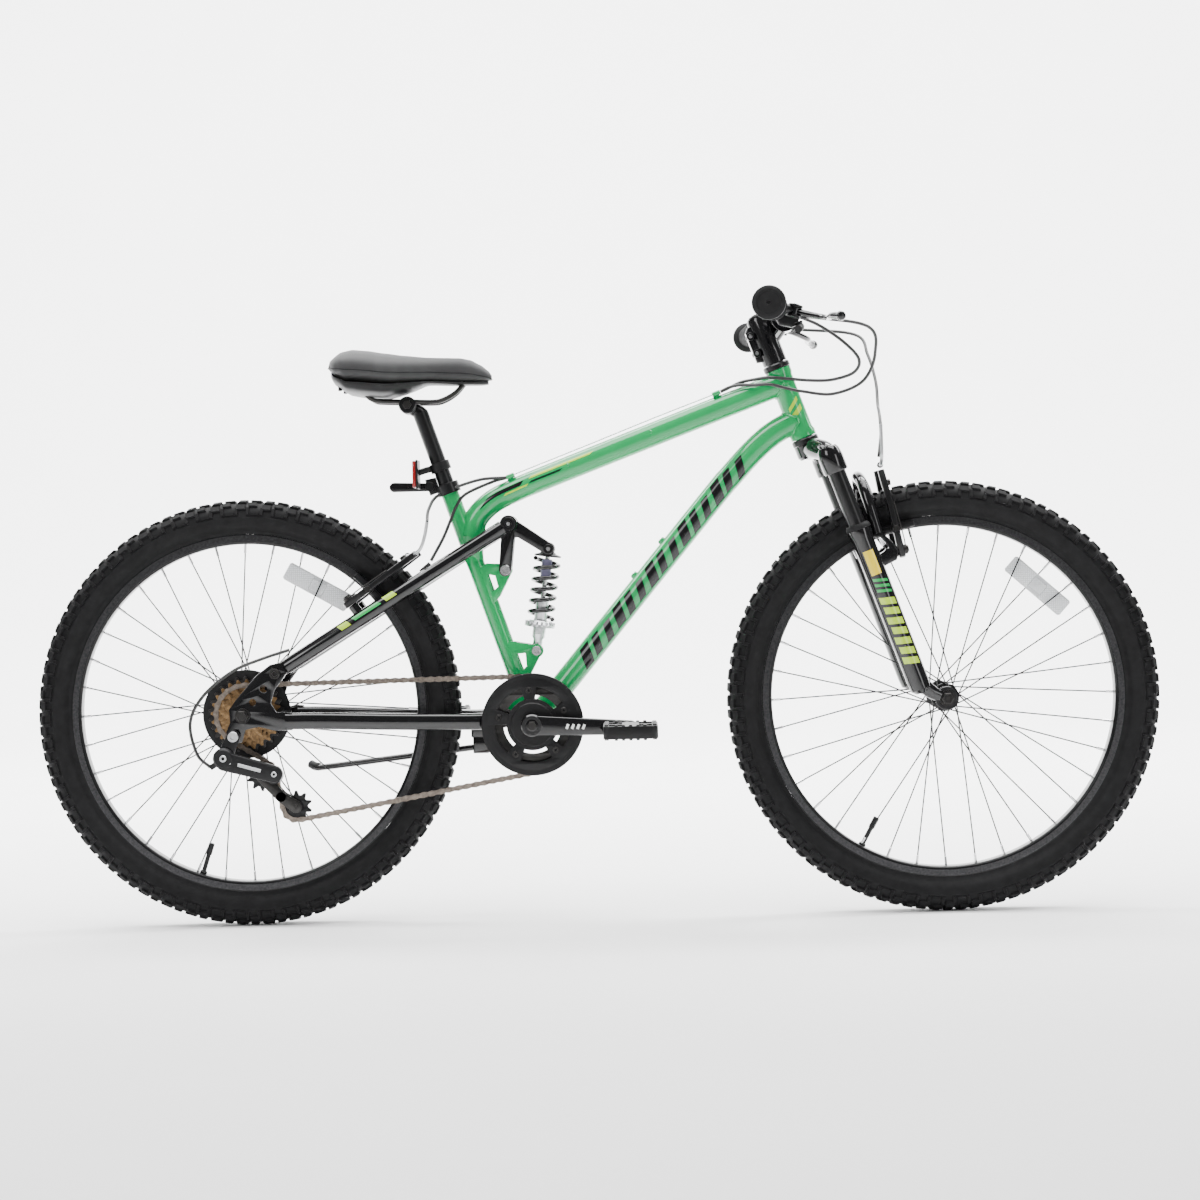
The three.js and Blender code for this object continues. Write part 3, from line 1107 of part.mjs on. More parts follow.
function chainPath() {
  const ringRadius = pitchRadiusOf(CHAINRING_TEETH);
  const wheelRadius = pitchRadiusOf(WHEEL_SPROCKET_TEETH);
  const pulleyRadius = pitchRadiusOf(PULLEY_TEETH);
  const top = tangent(BOTTOM_BRACKET, ringRadius, 1, REAR_AXLE, wheelRadius, 1);
  const down = tangent(REAR_AXLE, wheelRadius, 1, GUIDE_PULLEY, pulleyRadius, -1);
  const between = tangent(GUIDE_PULLEY, pulleyRadius, -1, TENSION_PULLEY, pulleyRadius, 1);
  const under = tangent(TENSION_PULLEY, pulleyRadius, 1, BOTTOM_BRACKET, ringRadius, 1);
  return {
    runs: [top, under],
    loop: [
      ...wrap(REAR_AXLE, wheelRadius, top[1], down[0], false, 8),
      ...wrap(GUIDE_PULLEY, pulleyRadius, down[1], between[0], true, 3),
      ...wrap(TENSION_PULLEY, pulleyRadius, between[1], under[0], false, 4),
      ...wrap(BOTTOM_BRACKET, ringRadius, under[1], top[0], false, 10),
    ],
  };
}

// A closed band of the chain's height along the loop, between y0 and y1.
function chainBand(loop, halfHeight, y0, y1) {
  const offset = (distance) => loop.map((point, i) => {
    const before = loop[(i + loop.length - 1) % loop.length];
    const after = loop[(i + 1) % loop.length];
    const ahead = after.clone().sub(before).normalize();
    return [point.x + ahead.z * distance, point.z - ahead.x * distance];
  });
  return plate(offset(halfHeight), y0, y1).subtract(plate(offset(-halfHeight), y0 - 1, y1 + 1));
}

// The chain: two rows of side plates as bands, with the rollers between them
// where it runs free of the teeth.
function chain() {
  const { runs, loop } = chainPath();
  const bands = [-1, 1].map((side) => {
    const [y0, y1] = sideRange(side, 1.8, 3.2);
    return chainBand(loop, 3.9, CHAINLINE + y0, CHAINLINE + y1);
  });
  const rollers = runs.flatMap(([a, b]) => {
    const count = Math.floor(a.distanceTo(b) / (6 * CHAIN_PITCH));
    return Array.from({ length: count }, (_, i) => a.clone().lerp(b, (i + 1) / (count + 1)))
      .filter((p) => p.distanceTo(BOTTOM_BRACKET) > 100 && p.distanceTo(REAR_AXLE) > 66)
      .filter((p) => p.distanceTo(TENSION_PULLEY) > 30)
      .map((p) => crossRod(p, CHAINLINE - 2.5, CHAINLINE + 2.5, 3, 6));
  });
  return join([...bands, ...rollers]);
}

function rearDerailleur() {
  const plates = join([[-53.5, -51.5], [-38.5, -36.5]].map(([y0, y1]) => strap(
    [GUIDE_PULLEY, V(-452, 0, 190), TENSION_PULLEY], 8, y0, y1)));
  const pins = [GUIDE_PULLEY, TENSION_PULLEY].map((p) => crossRod(p, -53, -37, 3.6, 8));
  const knuckle = crossRod(V(-528, 0, 250), -92, -72, 15, 10);
  const hangerBolt = rod(V(-514, -84, 280), V(-514, -74, 280), 9, 12);
  const hangerArm = strap([V(-514, 0, 280), V(-528, 0, 250)], 8, -82, -74);
  const links = strap([V(-526, 0, 246), V(-456, 0, 226)], 13, -90, -66);
  const cagePivot = crossRod(V(-458, 0, 222), -80, -52, 11, 12);
  const cageArm = strap([V(-458, 0, 222), GUIDE_PULLEY], 7, -54.5, -51.6);
  return join([plates, ...pins, knuckle, hangerBolt, hangerArm, links, cagePivot, cageArm]);
}

function buildDriveTrain() {
  const rightArm = cut(crankArm(-1), [crossRod(BOTTOM_BRACKET, -60, -40, 7.9, 12)]);
  piece('crank_right', rightArm, BLACK_PAINT);
  piece('crank_left', spindle(crankArm(1)), BLACK_PAINT);
  piece('chainring', chainring(), BLACK_PLASTIC);
  piece('pedal_right', pedal(-1), BLACK_PLASTIC);
  piece('pedal_left', pedal(1), BLACK_PLASTIC);
  piece('freewheel', freewheel(), BRONZE_STEEL);
  piece('chain', chain(), CHAIN_STEEL);
  piece('rear_derailleur', rearDerailleur(), BLACK_PLASTIC);
  piece('guide_pulley', pulley(GUIDE_PULLEY), BLACK_PLASTIC);
  piece('tension_pulley', pulley(TENSION_PULLEY), BLACK_PLASTIC);
}

// ---------------------------------------------------------------------------
// Kickstand
// ---------------------------------------------------------------------------

function buildKickstand() {
  const pin = rod(V(-168, 42, 247), V(-168, 61, 247), 4.8, 8);
  const leg = sweep([
    V(-168, 56.5, 247), V(-184, 56.5, 245.5), V(-260, 59, 237), V(-400, 72, 221), V(-416, 76, 221),
    V(-424, 84, 224),
  ], 4.6, 10, 8);
  piece('kickstand_leg', join([pin, leg]), BLACK_PAINT);
}

// ---------------------------------------------------------------------------
// Cables: each is held by the bike all the way, so it is made along its route.
// ---------------------------------------------------------------------------

const CASING_RADIUS = 2.4;

function buildCables() {
  const atLever = (s) => steeringPoint(...pitchedPoint(LEVER_PIVOT(s).add(V(17, -s * 42, 0)), s).toArray());
  const intoStop = (y) => [cableStop(207, y - 0.5).add(V(0, 0, 1)), cableStop(193.6, y)];
  const frontRoute = [
    atLever(1), V(396, 86, 838), V(412, 62, 806), V(420, 36, 765), V(420, 14, 730), V(419.5, -14, 712),
    V(419, -30, 690), V(417, -31, 668), V(416, -22, 655),
  ];
  const rearRoute = [
    atLever(-1), V(398, -84, 836), V(410, -66, 800), V(394, -50, 762), V(352, -40, 745), V(310, -33, 750),
    V(285, -30, 756), V(262, -27, 762), V(240, -20, 762), V(222, -14, 763), ...intoStop(STOP_YS[0]),
  ];
  const gearStart = steeringPoint(...onBar(-1, SHIFTER_Y).add(V(28.5, 10.5, -24)).toArray());
  const gearRoute = [
    gearStart, V(330, -96, 838), V(362, -97, 815), V(384, -95, 790), V(378, -84, 772), V(350, -60, 764),
    V(322, -38, 765), V(290, -27, 769),
    V(262, -22, 772), V(240, -14, 770), V(222, -7, 767), ...intoStop(STOP_YS[1]),
  ];
  piece('front_brake_cable', sweep(frontRoute, CASING_RADIUS, 6, 20), BLACK_PLASTIC);
  piece('rear_brake_cable', sweep(rearRoute, CASING_RADIUS, 6, 22), BLACK_PLASTIC);
  piece('gear_cable', sweep(gearRoute, CASING_RADIUS, 6, 22), BLACK_PLASTIC);
}

buildWheels();
buildFrame();
buildSaddle();
buildFork();
buildCockpit();
buildBrakes();
buildSuspension();
buildDriveTrain();
buildKickstand();
buildCables();

export default bike;
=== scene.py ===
"""The finished look of a 24-inch full-suspension mountain bike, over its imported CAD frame.

Sizes below are millimetres, turned to metres where a mesh is made. +X is forward,
+Y is the rider's left and +Z is up, so the drive side is -Y.
"""

import math

import bmesh
import bpy
from mathutils import Matrix, Vector


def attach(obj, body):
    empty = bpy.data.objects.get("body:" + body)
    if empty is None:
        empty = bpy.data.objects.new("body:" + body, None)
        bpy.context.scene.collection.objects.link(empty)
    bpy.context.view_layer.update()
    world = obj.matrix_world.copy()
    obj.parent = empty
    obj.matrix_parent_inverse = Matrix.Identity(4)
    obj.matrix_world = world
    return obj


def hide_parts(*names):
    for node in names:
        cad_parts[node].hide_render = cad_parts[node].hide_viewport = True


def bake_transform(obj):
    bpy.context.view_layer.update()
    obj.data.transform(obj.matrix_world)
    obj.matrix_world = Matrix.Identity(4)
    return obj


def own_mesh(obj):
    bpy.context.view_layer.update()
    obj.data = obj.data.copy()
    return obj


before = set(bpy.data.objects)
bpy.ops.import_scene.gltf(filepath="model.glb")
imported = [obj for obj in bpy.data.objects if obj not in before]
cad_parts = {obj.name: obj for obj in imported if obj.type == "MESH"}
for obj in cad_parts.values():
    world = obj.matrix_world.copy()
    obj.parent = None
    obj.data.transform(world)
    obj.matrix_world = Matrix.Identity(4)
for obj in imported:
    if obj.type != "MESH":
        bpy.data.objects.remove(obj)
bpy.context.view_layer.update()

# ---------------------------------------------------------------------------
# Driving dimensions
# ---------------------------------------------------------------------------

MM = 0.001
HALF_WHEELBASE = 501
TYRE_RADIUS = 309
SECTION_CENTRE = 283          # radius to the middle of the tyre's section
SECTION_RADIUS = 23
SECTION_HALF_WIDTH = 24.5
KNOB_PITCHES = 50
RIM_EDGE = 259
RIM_INNER = 245
RIM_HALF = 12.5
SPOKES = 36
CHAIN_PITCH = 12.7
CHAINLINE = -45
CHAINRING_TEETH = 34
WHEEL_SPROCKET_TEETH = 21
PULLEY_TEETH = 10
FREEWHEEL_TEETH = [26, 24, 21, 18, 16, 14, 13]
SPROCKET_PITCH = 4.7
CRANK_LENGTH = 140
CRANK_ANGLE = math.radians(2.5)
STEERING_ANGLE = math.radians(70.2)
HEAD_TUBE_LENGTH = 105
BAR_HALF = 290
FRONT_HUB_HALF = 50
REAR_HUB_HALF = 67.5
DROPOUT_PLATE = 6


def at(x, y, z):
    return Vector((x, y, z))


ORIGIN = at(0, 0, 0)
Y_AXIS = at(0, 1, 0)
Z_AXIS = at(0, 0, 1)
REAR_AXLE = at(-HALF_WHEELBASE, 0, TYRE_RADIUS)
FRONT_AXLE = at(HALF_WHEELBASE, 0, TYRE_RADIUS)
BOTTOM_BRACKET = at(-88, 0, 285.5)
MAIN_PIVOT = at(-129, 0, 295)
STAY_PIVOT = at(-453, 0, 368)
ROCKER_TOP = at(-116, 0, 573)
ROCKER_PIVOT = at(-123, 0, 506.5)
SHOCK_TOP = at(-60, 0, 535.5)
SHOCK_LOW = at(-81, 0, 389)
HEAD_TUBE_BOTTOM = at(312, 0, 685.5)
SEAT_TUBE_LEAN = at(-0.3197, 0, 0.9475)
GUIDE_PULLEY = at(-479, 0, 221)
TENSION_PULLEY = at(-431, 0, 175.5)

# ---------------------------------------------------------------------------
# Camera, floor and light
# ---------------------------------------------------------------------------

CAMERA_PLACE = at(53.6, -3600, 545.2)
CAMERA_YAW = 0.04163
CAMERA_PITCH = -0.02298
CAMERA_ROLL = -0.02715
CAMERA_LENS = 74.67
CAMERA_SHIFT_X = 0.0626


def make_camera():
    yaw, pitch, roll = CAMERA_YAW, CAMERA_PITCH, CAMERA_ROLL
    level = at(math.cos(yaw), math.sin(yaw), 0)
    upright = at(math.sin(yaw) * math.sin(pitch), -math.cos(yaw) * math.sin(pitch), math.cos(pitch))
    ahead = at(-math.sin(yaw) * math.cos(pitch), math.cos(yaw) * math.cos(pitch), math.sin(pitch))
    right = level * math.cos(roll) + upright * math.sin(roll)
    up = upright * math.cos(roll) - level * math.sin(roll)
    data = bpy.data.cameras.new("camera")
    data.lens = CAMERA_LENS
    data.sensor_width = 36
    data.shift_x = CAMERA_SHIFT_X
    data.clip_end = 50
    camera = bpy.data.objects.new("camera", data)
    rotation = Matrix((right, up, -ahead)).transposed().to_4x4()
    camera.matrix_world = Matrix.Translation(CAMERA_PLACE * MM) @ rotation
    bpy.context.scene.collection.objects.link(camera)
    bpy.context.scene.camera = camera


def area_light(name, place, target, size, watts):
    data = bpy.data.lights.new(name, "AREA")
    data.shape = "RECTANGLE"
    data.size, data.size_y = size
    data.energy = watts
    light = bpy.data.objects.new(name, data)
    aim = (Vector(target) - Vector(place)).to_track_quat("-Z", "Y")
    light.matrix_world = Matrix.Translation(place) @ aim.to_matrix().to_4x4()
    bpy.context.scene.collection.objects.link(light)


def make_backdrop():
    """A sheet of pale paper: the floor, a round sweep behind the bicycle and a wall."""
    half_width = 9
    sweep_radius = 2.2
    wall_start = 3.2
    profile = [(-9, 0)]
    for i in range(25):
        angle = math.radians(90 * i / 24)
        profile.append((wall_start + sweep_radius * math.sin(angle), sweep_radius * (1 - math.cos(angle))))
    profile.append((wall_start + sweep_radius, 7))
    points = [(x, y, z) for y, z in profile for x in (-half_width, half_width)]
    faces = [(2 * i, 2 * i + 1, 2 * i + 3, 2 * i + 2) for i in range(len(profile) - 1)]
    mesh = bpy.data.meshes.new("backdrop")
    mesh.from_pydata(points, [], faces)
    for face in mesh.polygons:
        face.use_smooth = True
    mesh.materials.append(surface("backdrop_paper", (0.9, 0.9, 0.9), 0.9, mottle=0.01, mottle_size=300))
    backdrop = bpy.data.objects.new("backdrop", mesh)
    bpy.context.scene.collection.objects.link(backdrop)


def make_studio():
    world = bpy.data.worlds.new("studio")
    world.use_nodes = True
    sky = world.node_tree.nodes["Background"]
    sky.inputs["Color"].default_value = (1.0, 1.0, 1.0, 1)
    sky.inputs["Strength"].default_value = 0.22
    bpy.context.scene.world = world
    middle = (0, 0, 0.45)
    area_light("overhead", (0, -0.4, 3.2), (0, 0, 0), (4.0, 2.2), 260)
    area_light("key", (-2.2, -3.0, 2.1), middle, (1.4, 1.4), 42)
    area_light("fill", (2.6, -2.6, 1.2), middle, (0.8, 2.0), 22)
    for x in (-2.6, 2.6):
        area_light("wall_wash", (x, 1.4, 3.6), (x, 5.2, 1.2), (4.5, 1.2), 620)
        area_light("floor_wash", (x, 1.2, 3.2), (x, 3.0, 0), (4.5, 1.2), 240)
    make_backdrop()


# ---------------------------------------------------------------------------
# Materials
# ---------------------------------------------------------------------------


def node_tree(name):
    material = bpy.data.materials.new(name)
    material.use_nodes = True
    tree = material.node_tree
    return material, tree, tree.nodes["Principled BSDF"]


def noise(tree, size_mm, detail=4, stretch=(1, 1, 1)):
    """A noise whose features are about size_mm across, stretched along an axis where asked."""
    place = tree.nodes.new("ShaderNodeTexCoord")
    mapping = tree.nodes.new("ShaderNodeMapping")
    mapping.inputs["Scale"].default_value = stretch
    texture = tree.nodes.new("ShaderNodeTexNoise")
    texture.inputs["Scale"].default_value = 1000 / size_mm
    texture.inputs["Detail"].default_value = detail
    tree.links.new(place.outputs["Object"], mapping.inputs["Vector"])
    tree.links.new(mapping.outputs["Vector"], texture.inputs["Vector"])
    return texture.outputs["Fac"]


def ramp(tree, source, low, high, start=0.3, end=0.7):
    node = tree.nodes.new("ShaderNodeValToRGB")
    node.color_ramp.elements[0].position = start
    node.color_ramp.elements[1].position = end
    node.color_ramp.elements[0].color = (*low, 1)
    node.color_ramp.elements[1].color = (*high, 1)
    tree.links.new(source, node.inputs["Fac"])
    return node.outputs["Color"]


def spread(tree, source, low, high):
    node = tree.nodes.new("ShaderNodeMapRange")
    node.inputs["To Min"].default_value = low
    node.inputs["To Max"].default_value = high
    tree.links.new(source, node.inputs["Value"])
    return node.outputs["Result"]


def relief(tree, shader, source, depth_mm, strength=0.5):
    bump = tree.nodes.new("ShaderNodeBump")
    bump.inputs["Strength"].default_value = strength
    bump.inputs["Distance"].default_value = depth_mm * MM
    tree.links.new(source, bump.inputs["Height"])
    tree.links.new(bump.outputs["Normal"], shader.inputs["Normal"])


def surface(name, color, roughness, metallic=0.0, coat=0.0, mottle=0.15, mottle_size=30,
            grain=0.0, grain_size=0.6, stretch=(1, 1, 1), rough_spread=0.06, specular=0.5):
    """A material whose colour and roughness drift a little, with a fine grain where asked."""
    material, tree, shader = node_tree(name)
    shader.inputs["Metallic"].default_value = metallic
    shader.inputs["Specular IOR Level"].default_value = specular
    shader.inputs["Coat Weight"].default_value = coat
    shader.inputs["Coat Roughness"].default_value = 0.06
    drift = noise(tree, mottle_size, stretch=stretch)
    low = tuple(c * (1 - mottle) for c in color)
    high = tuple(min(1, c * (1 + mottle)) for c in color)
    tree.links.new(ramp(tree, drift, low, high), shader.inputs["Base Color"])
    rough = spread(tree, noise(tree, mottle_size / 3), roughness - rough_spread, roughness + rough_spread)
    tree.links.new(rough, shader.inputs["Roughness"])
    if grain:
        relief(tree, shader, noise(tree, grain_size, 2, stretch), grain)
    return material


def prism(name, color):
    """Moulded reflector plastic: rows of small corner prisms behind a glossy face."""
    material, tree, shader = node_tree(name)
    place = tree.nodes.new("ShaderNodeTexCoord")
    cells = tree.nodes.new("ShaderNodeTexVoronoi")
    cells.distance = "CHEBYCHEV"
    cells.inputs["Scale"].default_value = 330
    cells.inputs["Randomness"].default_value = 0.15
    tree.links.new(place.outputs["Object"], cells.inputs["Vector"])
    dark = tuple(c * 0.55 for c in color)
    tree.links.new(ramp(tree, cells.outputs["Distance"], color, dark, 0.15, 0.6), shader.inputs["Base Color"])
    shader.inputs["Roughness"].default_value = 0.12
    shader.inputs["Coat Weight"].default_value = 0.8
    relief(tree, shader, cells.outputs["Distance"], 0.6, 0.6)
    return material


def cover_leather(name):
    """The saddle's matte cover: a fine pebbled grain with a little sheen."""
    material, tree, shader = node_tree(name)
    place = tree.nodes.new("ShaderNodeTexCoord")
    cells = tree.nodes.new("ShaderNodeTexVoronoi")
    cells.inputs["Scale"].default_value = 900
    tree.links.new(place.outputs["Object"], cells.inputs["Vector"])
    drift = noise(tree, 40)
    tree.links.new(ramp(tree, drift, (0.012, 0.012, 0.013), (0.02, 0.02, 0.021)), shader.inputs["Base Color"])
    shader.inputs["Roughness"].default_value = 0.62
    shader.inputs["Sheen Weight"].default_value = 0.12
    relief(tree, shader, cells.outputs["Distance"], 0.25, 0.35)
    return material


GREEN = surface("green_enamel", (0.0, 0.29, 0.075), 0.26, specular=0.2, coat=1.0, mottle=0.04, mottle_size=60,
                rough_spread=0.03)
GLOSS_BLACK = surface("gloss_black_enamel", (0.003, 0.003, 0.0035), 0.22, specular=0.1, coat=1.0, mottle=0.2,
                      rough_spread=0.03)
SATIN_BLACK = surface(
    "satin_black_alloy", (0.005, 0.005, 0.0055), 0.36, specular=0.25, metallic=0.2, coat=0.25, grain=0.03,
    grain_size=0.5
)
BLACK_RIM = surface("anodised_black_rim", (0.005, 0.005, 0.0055), 0.34, specular=0.2, metallic=0.4, coat=0.3,
                    grain=0.02, grain_size=0.4)
BRAKE_TRACK = surface("machined_brake_track", (0.035, 0.035, 0.037), 0.38, metallic=0.8, mottle=0.3,
                      mottle_size=3, grain=0.04, grain_size=0.3)
BLACK_SPOKE = surface("black_spoke_steel", (0.004, 0.004, 0.0045), 0.4, metallic=0.2, specular=0.2)
BRIGHT_STEEL = surface("bright_plated_steel", (0.62, 0.62, 0.63), 0.24, metallic=1.0, mottle=0.12,
                       mottle_size=6, grain=0.02, grain_size=0.5)
SILVER = surface("machined_alloy", (0.6, 0.61, 0.62), 0.32, metallic=1.0, mottle=0.1, mottle_size=5,
                 grain=0.03, grain_size=0.4)
BRONZE = surface("bronze_brown_steel", (0.17, 0.105, 0.05), 0.38, metallic=0.85, mottle=0.35,
                 mottle_size=5, grain=0.04, grain_size=0.5)
DARK_STEEL = surface("dark_steel", (0.03, 0.029, 0.028), 0.34, metallic=0.8, mottle=0.25,
                     grain=0.03, grain_size=0.5)
CHAIN_STEEL = surface("oiled_chain_steel", (0.19, 0.16, 0.135), 0.36, metallic=0.9, mottle=0.3,
                      mottle_size=5, grain=0.03, grain_size=0.4)
BLACK_PLASTIC = surface("moulded_black_plastic", (0.005, 0.005, 0.0055), 0.42, specular=0.25, mottle=0.2,
                        grain=0.05, grain_size=0.35)
CASING = surface("cable_casing_plastic", (0.009, 0.009, 0.0095), 0.32, coat=0.3, grain=0.02, grain_size=0.8)
TYRE = surface("tyre_rubber", (0.0065, 0.0065, 0.007), 0.62, specular=0.14, mottle=0.25, mottle_size=14,
               grain=0.08, grain_size=0.7, rough_spread=0.1)
KNOB = surface("tread_rubber", (0.007, 0.007, 0.0075), 0.7, specular=0.14, mottle=0.3, mottle_size=8,
               grain=0.1, grain_size=0.6, rough_spread=0.1)
GRIP = surface("grip_rubber", (0.008, 0.008, 0.0085), 0.6, specular=0.2, mottle=0.2, mottle_size=10,
               grain=0.08, grain_size=0.4)
BUMPER = surface("shock_bumper_elastomer", (0.17, 0.16, 0.27), 0.5, mottle=0.1, grain=0.03)
LIME = surface("lime_decal", (0.42, 0.62, 0.02), 0.3, coat=0.8, mottle=0.03)
YELLOW = surface("yellow_decal", (0.75, 0.55, 0.01), 0.35, coat=0.6, mottle=0.04)
BLACK_DECAL = surface("black_decal", (0.003, 0.003, 0.0035), 0.3, coat=0.8, specular=0.1, mottle=0.05)
GREEN_DECAL = surface("green_decal", (0.0, 0.33, 0.06), 0.3, coat=0.8, mottle=0.03)
WHITE_DECAL = surface("white_decal", (0.8, 0.82, 0.8), 0.3, coat=0.8, mottle=0.03)
CLEAR_PRISM = prism("clear_prism", (0.78, 0.8, 0.82))
RED_PRISM = prism("red_prism", (0.42, 0.012, 0.012))
SADDLE_COVER = cover_leather("saddle_cover")

make_camera()
make_studio()

# ---------------------------------------------------------------------------
# Shapes: each maker gives (points, faces) in millimetres
# ---------------------------------------------------------------------------


def merged(shapes):
    points, faces = [], []
    for shape_points, shape_faces in shapes:
        start = len(points)
        points.extend(shape_points)
        faces.extend(tuple(start + i for i in face) for face in shape_faces)
    return points, faces


def moved(shape, matrix):
    points, faces = shape
    return [matrix @ p for p in points], faces


def mirrored(shape):
    """The same shape on the other side of the wheels' plane."""
    points, faces = shape
    return [at(p.x, -p.y, p.z) for p in points], [tuple(reversed(f)) for f in faces]


def both_sides(shape):
    return merged([shape, mirrored(shape)])


def spline(points, steps=8):
    """A smooth line through the points."""
    ends = [points[0] * 2 - points[1], *points, points[-1] * 2 - points[-2]]
    line = []
    for i in range(1, len(ends) - 2):
        a, b, c, d = ends[i - 1:i + 3]
        for step in range(steps):
            t = step / steps
            line.append((b * 2 + (c - a) * t + (a * 2 - b * 5 + c * 4 - d) * t ** 2
                         + (b * 3 - a - c * 3 + d) * t ** 3) * 0.5)
    line.append(points[-1].copy())
    return line


def tube(line, radius, sides=24, across=1.0, ends=True):
    """A tube along a line of points. Its radius is a number or a function of the share
    of the way along, and across widens the section toward Y."""
    size = radius if callable(radius) else lambda share: radius
    side = None
    points, faces = [], []
    last = len(line) - 1
    for i, centre in enumerate(line):
        ahead = (line[min(i + 1, last)] - line[max(i - 1, 0)]).normalized()
        if side is None:
            side = Y_AXIS if abs(ahead.y) < 0.9 else Z_AXIS
        side = (side - ahead * side.dot(ahead)).normalized()
        other = ahead.cross(side)
        for k in range(sides):
            angle = math.tau * k / sides
            offset = side * math.cos(angle) * across + other * math.sin(angle)
            points.append(centre + offset * size(i / last))
    for i in range(last):
        for k in range(sides):
            a, b = i * sides + k, i * sides + (k + 1) % sides
            faces.append((a, b, b + sides, a + sides))
    if ends:
        faces.append(tuple(range(sides - 1, -1, -1)))
        faces.append(tuple(last * sides + k for k in range(sides)))
    return points, faces


def rod(a, b, radius, sides=24, end_radius=None, bevel=0.6):
    """A straight rod from a to b with slightly rounded rims."""
    end = radius if end_radius is None else end_radius
    length = (b - a).length
    profile = [
        (0, 0), (radius - bevel, 0), (radius, bevel), (end, length - bevel), (end - bevel, length),
        (0, length),
    ]
    return turned(profile, a, (b - a).normalized(), sides)


def cross_rod(centre, y0, y1, radius, sides=24, bevel=0.6):
    return rod(at(centre.x, y0, centre.z), at(centre.x, y1, centre.z), radius, sides, bevel=bevel)


def turned(profile, centre=ORIGIN, axis=Y_AXIS, segments=48, ring=False):
    """A turned shape: the profile's points are (radius, distance along the axis). A ring
    closes on itself; any other profile starts and ends on the axis."""
    turn = Z_AXIS.rotation_difference(axis)
    points, faces, rows = [], [], []
    for radius, along in profile:
        row = []
        for k in range(segments if radius > 0 else 1):
            angle = math.tau * k / segments
            row.append(len(points))
            points.append(centre + turn @ at(radius * math.cos(angle), radius * math.sin(angle), along))
        rows.append(row)
    if ring:
        rows.append(rows[0])
    for low, high in zip(rows, rows[1:]):
        for k in range(segments):
            n = (k + 1) % segments
            if len(low) == 1 and len(high) == 1:
                continue
            if len(low) == 1:
                faces.append((low[0], high[n], high[k]))
            elif len(high) == 1:
                faces.append((low[k], low[n], high[0]))
            else:
                faces.append((low[k], low[n], high[n], high[k]))
    return points, faces


def circle(x, z, radius, steps=28):
    return [(x + radius * math.cos(math.tau * i / steps), z + radius * math.sin(math.tau * i / steps))
            for i in range(steps)]


def link_outline(a, radius_a, b, radius_b, steps=14):
    """The outline round two circles in the XZ plane."""
    dx, dz = b.x - a.x, b.z - a.z
    heading = math.atan2(dz, dx)
    lean = math.acos(max(-1, min(1, (radius_a - radius_b) / math.hypot(dx, dz))))
    outline = []
    for centre, radius, start, end in ((b, radius_b, -lean, lean), (a, radius_a, lean, math.tau - lean)):
        for i in range(steps + 1):
            angle = heading + start + (end - start) * i / steps
            outline.append((centre.x + radius * math.cos(angle), centre.z + radius * math.sin(angle)))
    return outline


def plate(outlines, y0, y1, bevel=0.6, bevel_steps=1):
    """A plate across the bike with rounded rims: the first outline of (x, z) points is its
    edge, and any others are holes."""
    curve = bpy.data.curves.new("outline", "CURVE")
    curve.dimensions = "2D"
    curve.fill_mode = "BOTH"
    curve.extrude = (y1 - y0) / 2 - bevel
    curve.bevel_depth = bevel
    curve.bevel_resolution = bevel_steps
    curve.offset = -bevel
    for outline in outlines:
        edge = curve.splines.new("POLY")
        edge.points.add(len(outline) - 1)
        edge.use_cyclic_u = True
        for point, (x, z) in zip(edge.points, outline):
            point.co = (x, z, 0, 1)
    holder = bpy.data.objects.new("outline", curve)
    bpy.context.scene.collection.objects.link(holder)
    bpy.context.view_layer.update()
    mesh = bpy.data.meshes.new_from_object(holder.evaluated_get(bpy.context.evaluated_depsgraph_get()))
    middle = (y0 + y1) / 2
    points = [at(v.co.x, middle - v.co.z, v.co.y) for v in mesh.vertices]
    faces = [tuple(p.vertices) for p in mesh.polygons]
    bpy.data.objects.remove(holder)
    bpy.data.curves.remove(curve)
    bpy.data.meshes.remove(mesh)
    return points, faces


def block(size, centre=ORIGIN, bevel=1.0, steps=2):
    """A box with rounded edges."""
    mesh = bmesh.new()
    bmesh.ops.create_cube(mesh, size=1)
    bmesh.ops.scale(mesh, vec=size, verts=mesh.verts)
    bmesh.ops.bevel(mesh, geom=mesh.edges[:], offset=bevel, segments=steps, affect="EDGES", profile=0.5)
    mesh.verts.index_update()
    points = [v.co + centre for v in mesh.verts]
    faces = [tuple(v.index for v in f.verts) for f in mesh.faces]
    mesh.free()
    return points, faces


def hexagon(centre, axis, radius, depth, bevel=0.5):
    """A hexagonal nut or bolt head."""
    profile = [(0, 0), (radius, 0), (radius, depth - bevel), (radius - bevel, depth), (0, depth)]
    return turned(profile, centre, axis, 6)


def socket_head(centre, axis, radius, depth):
    """A round bolt head with a recessed socket."""
    rim = 0.5
    profile = [(0, -0.5), (radius, -0.5), (radius, depth - rim), (radius - rim, depth), (radius * 0.5, depth),
               (radius * 0.45, depth - radius * 0.4), (0, depth - radius * 0.4)]
    return turned(profile, centre, axis, 20)


SHARP_ANGLE = math.radians(34)


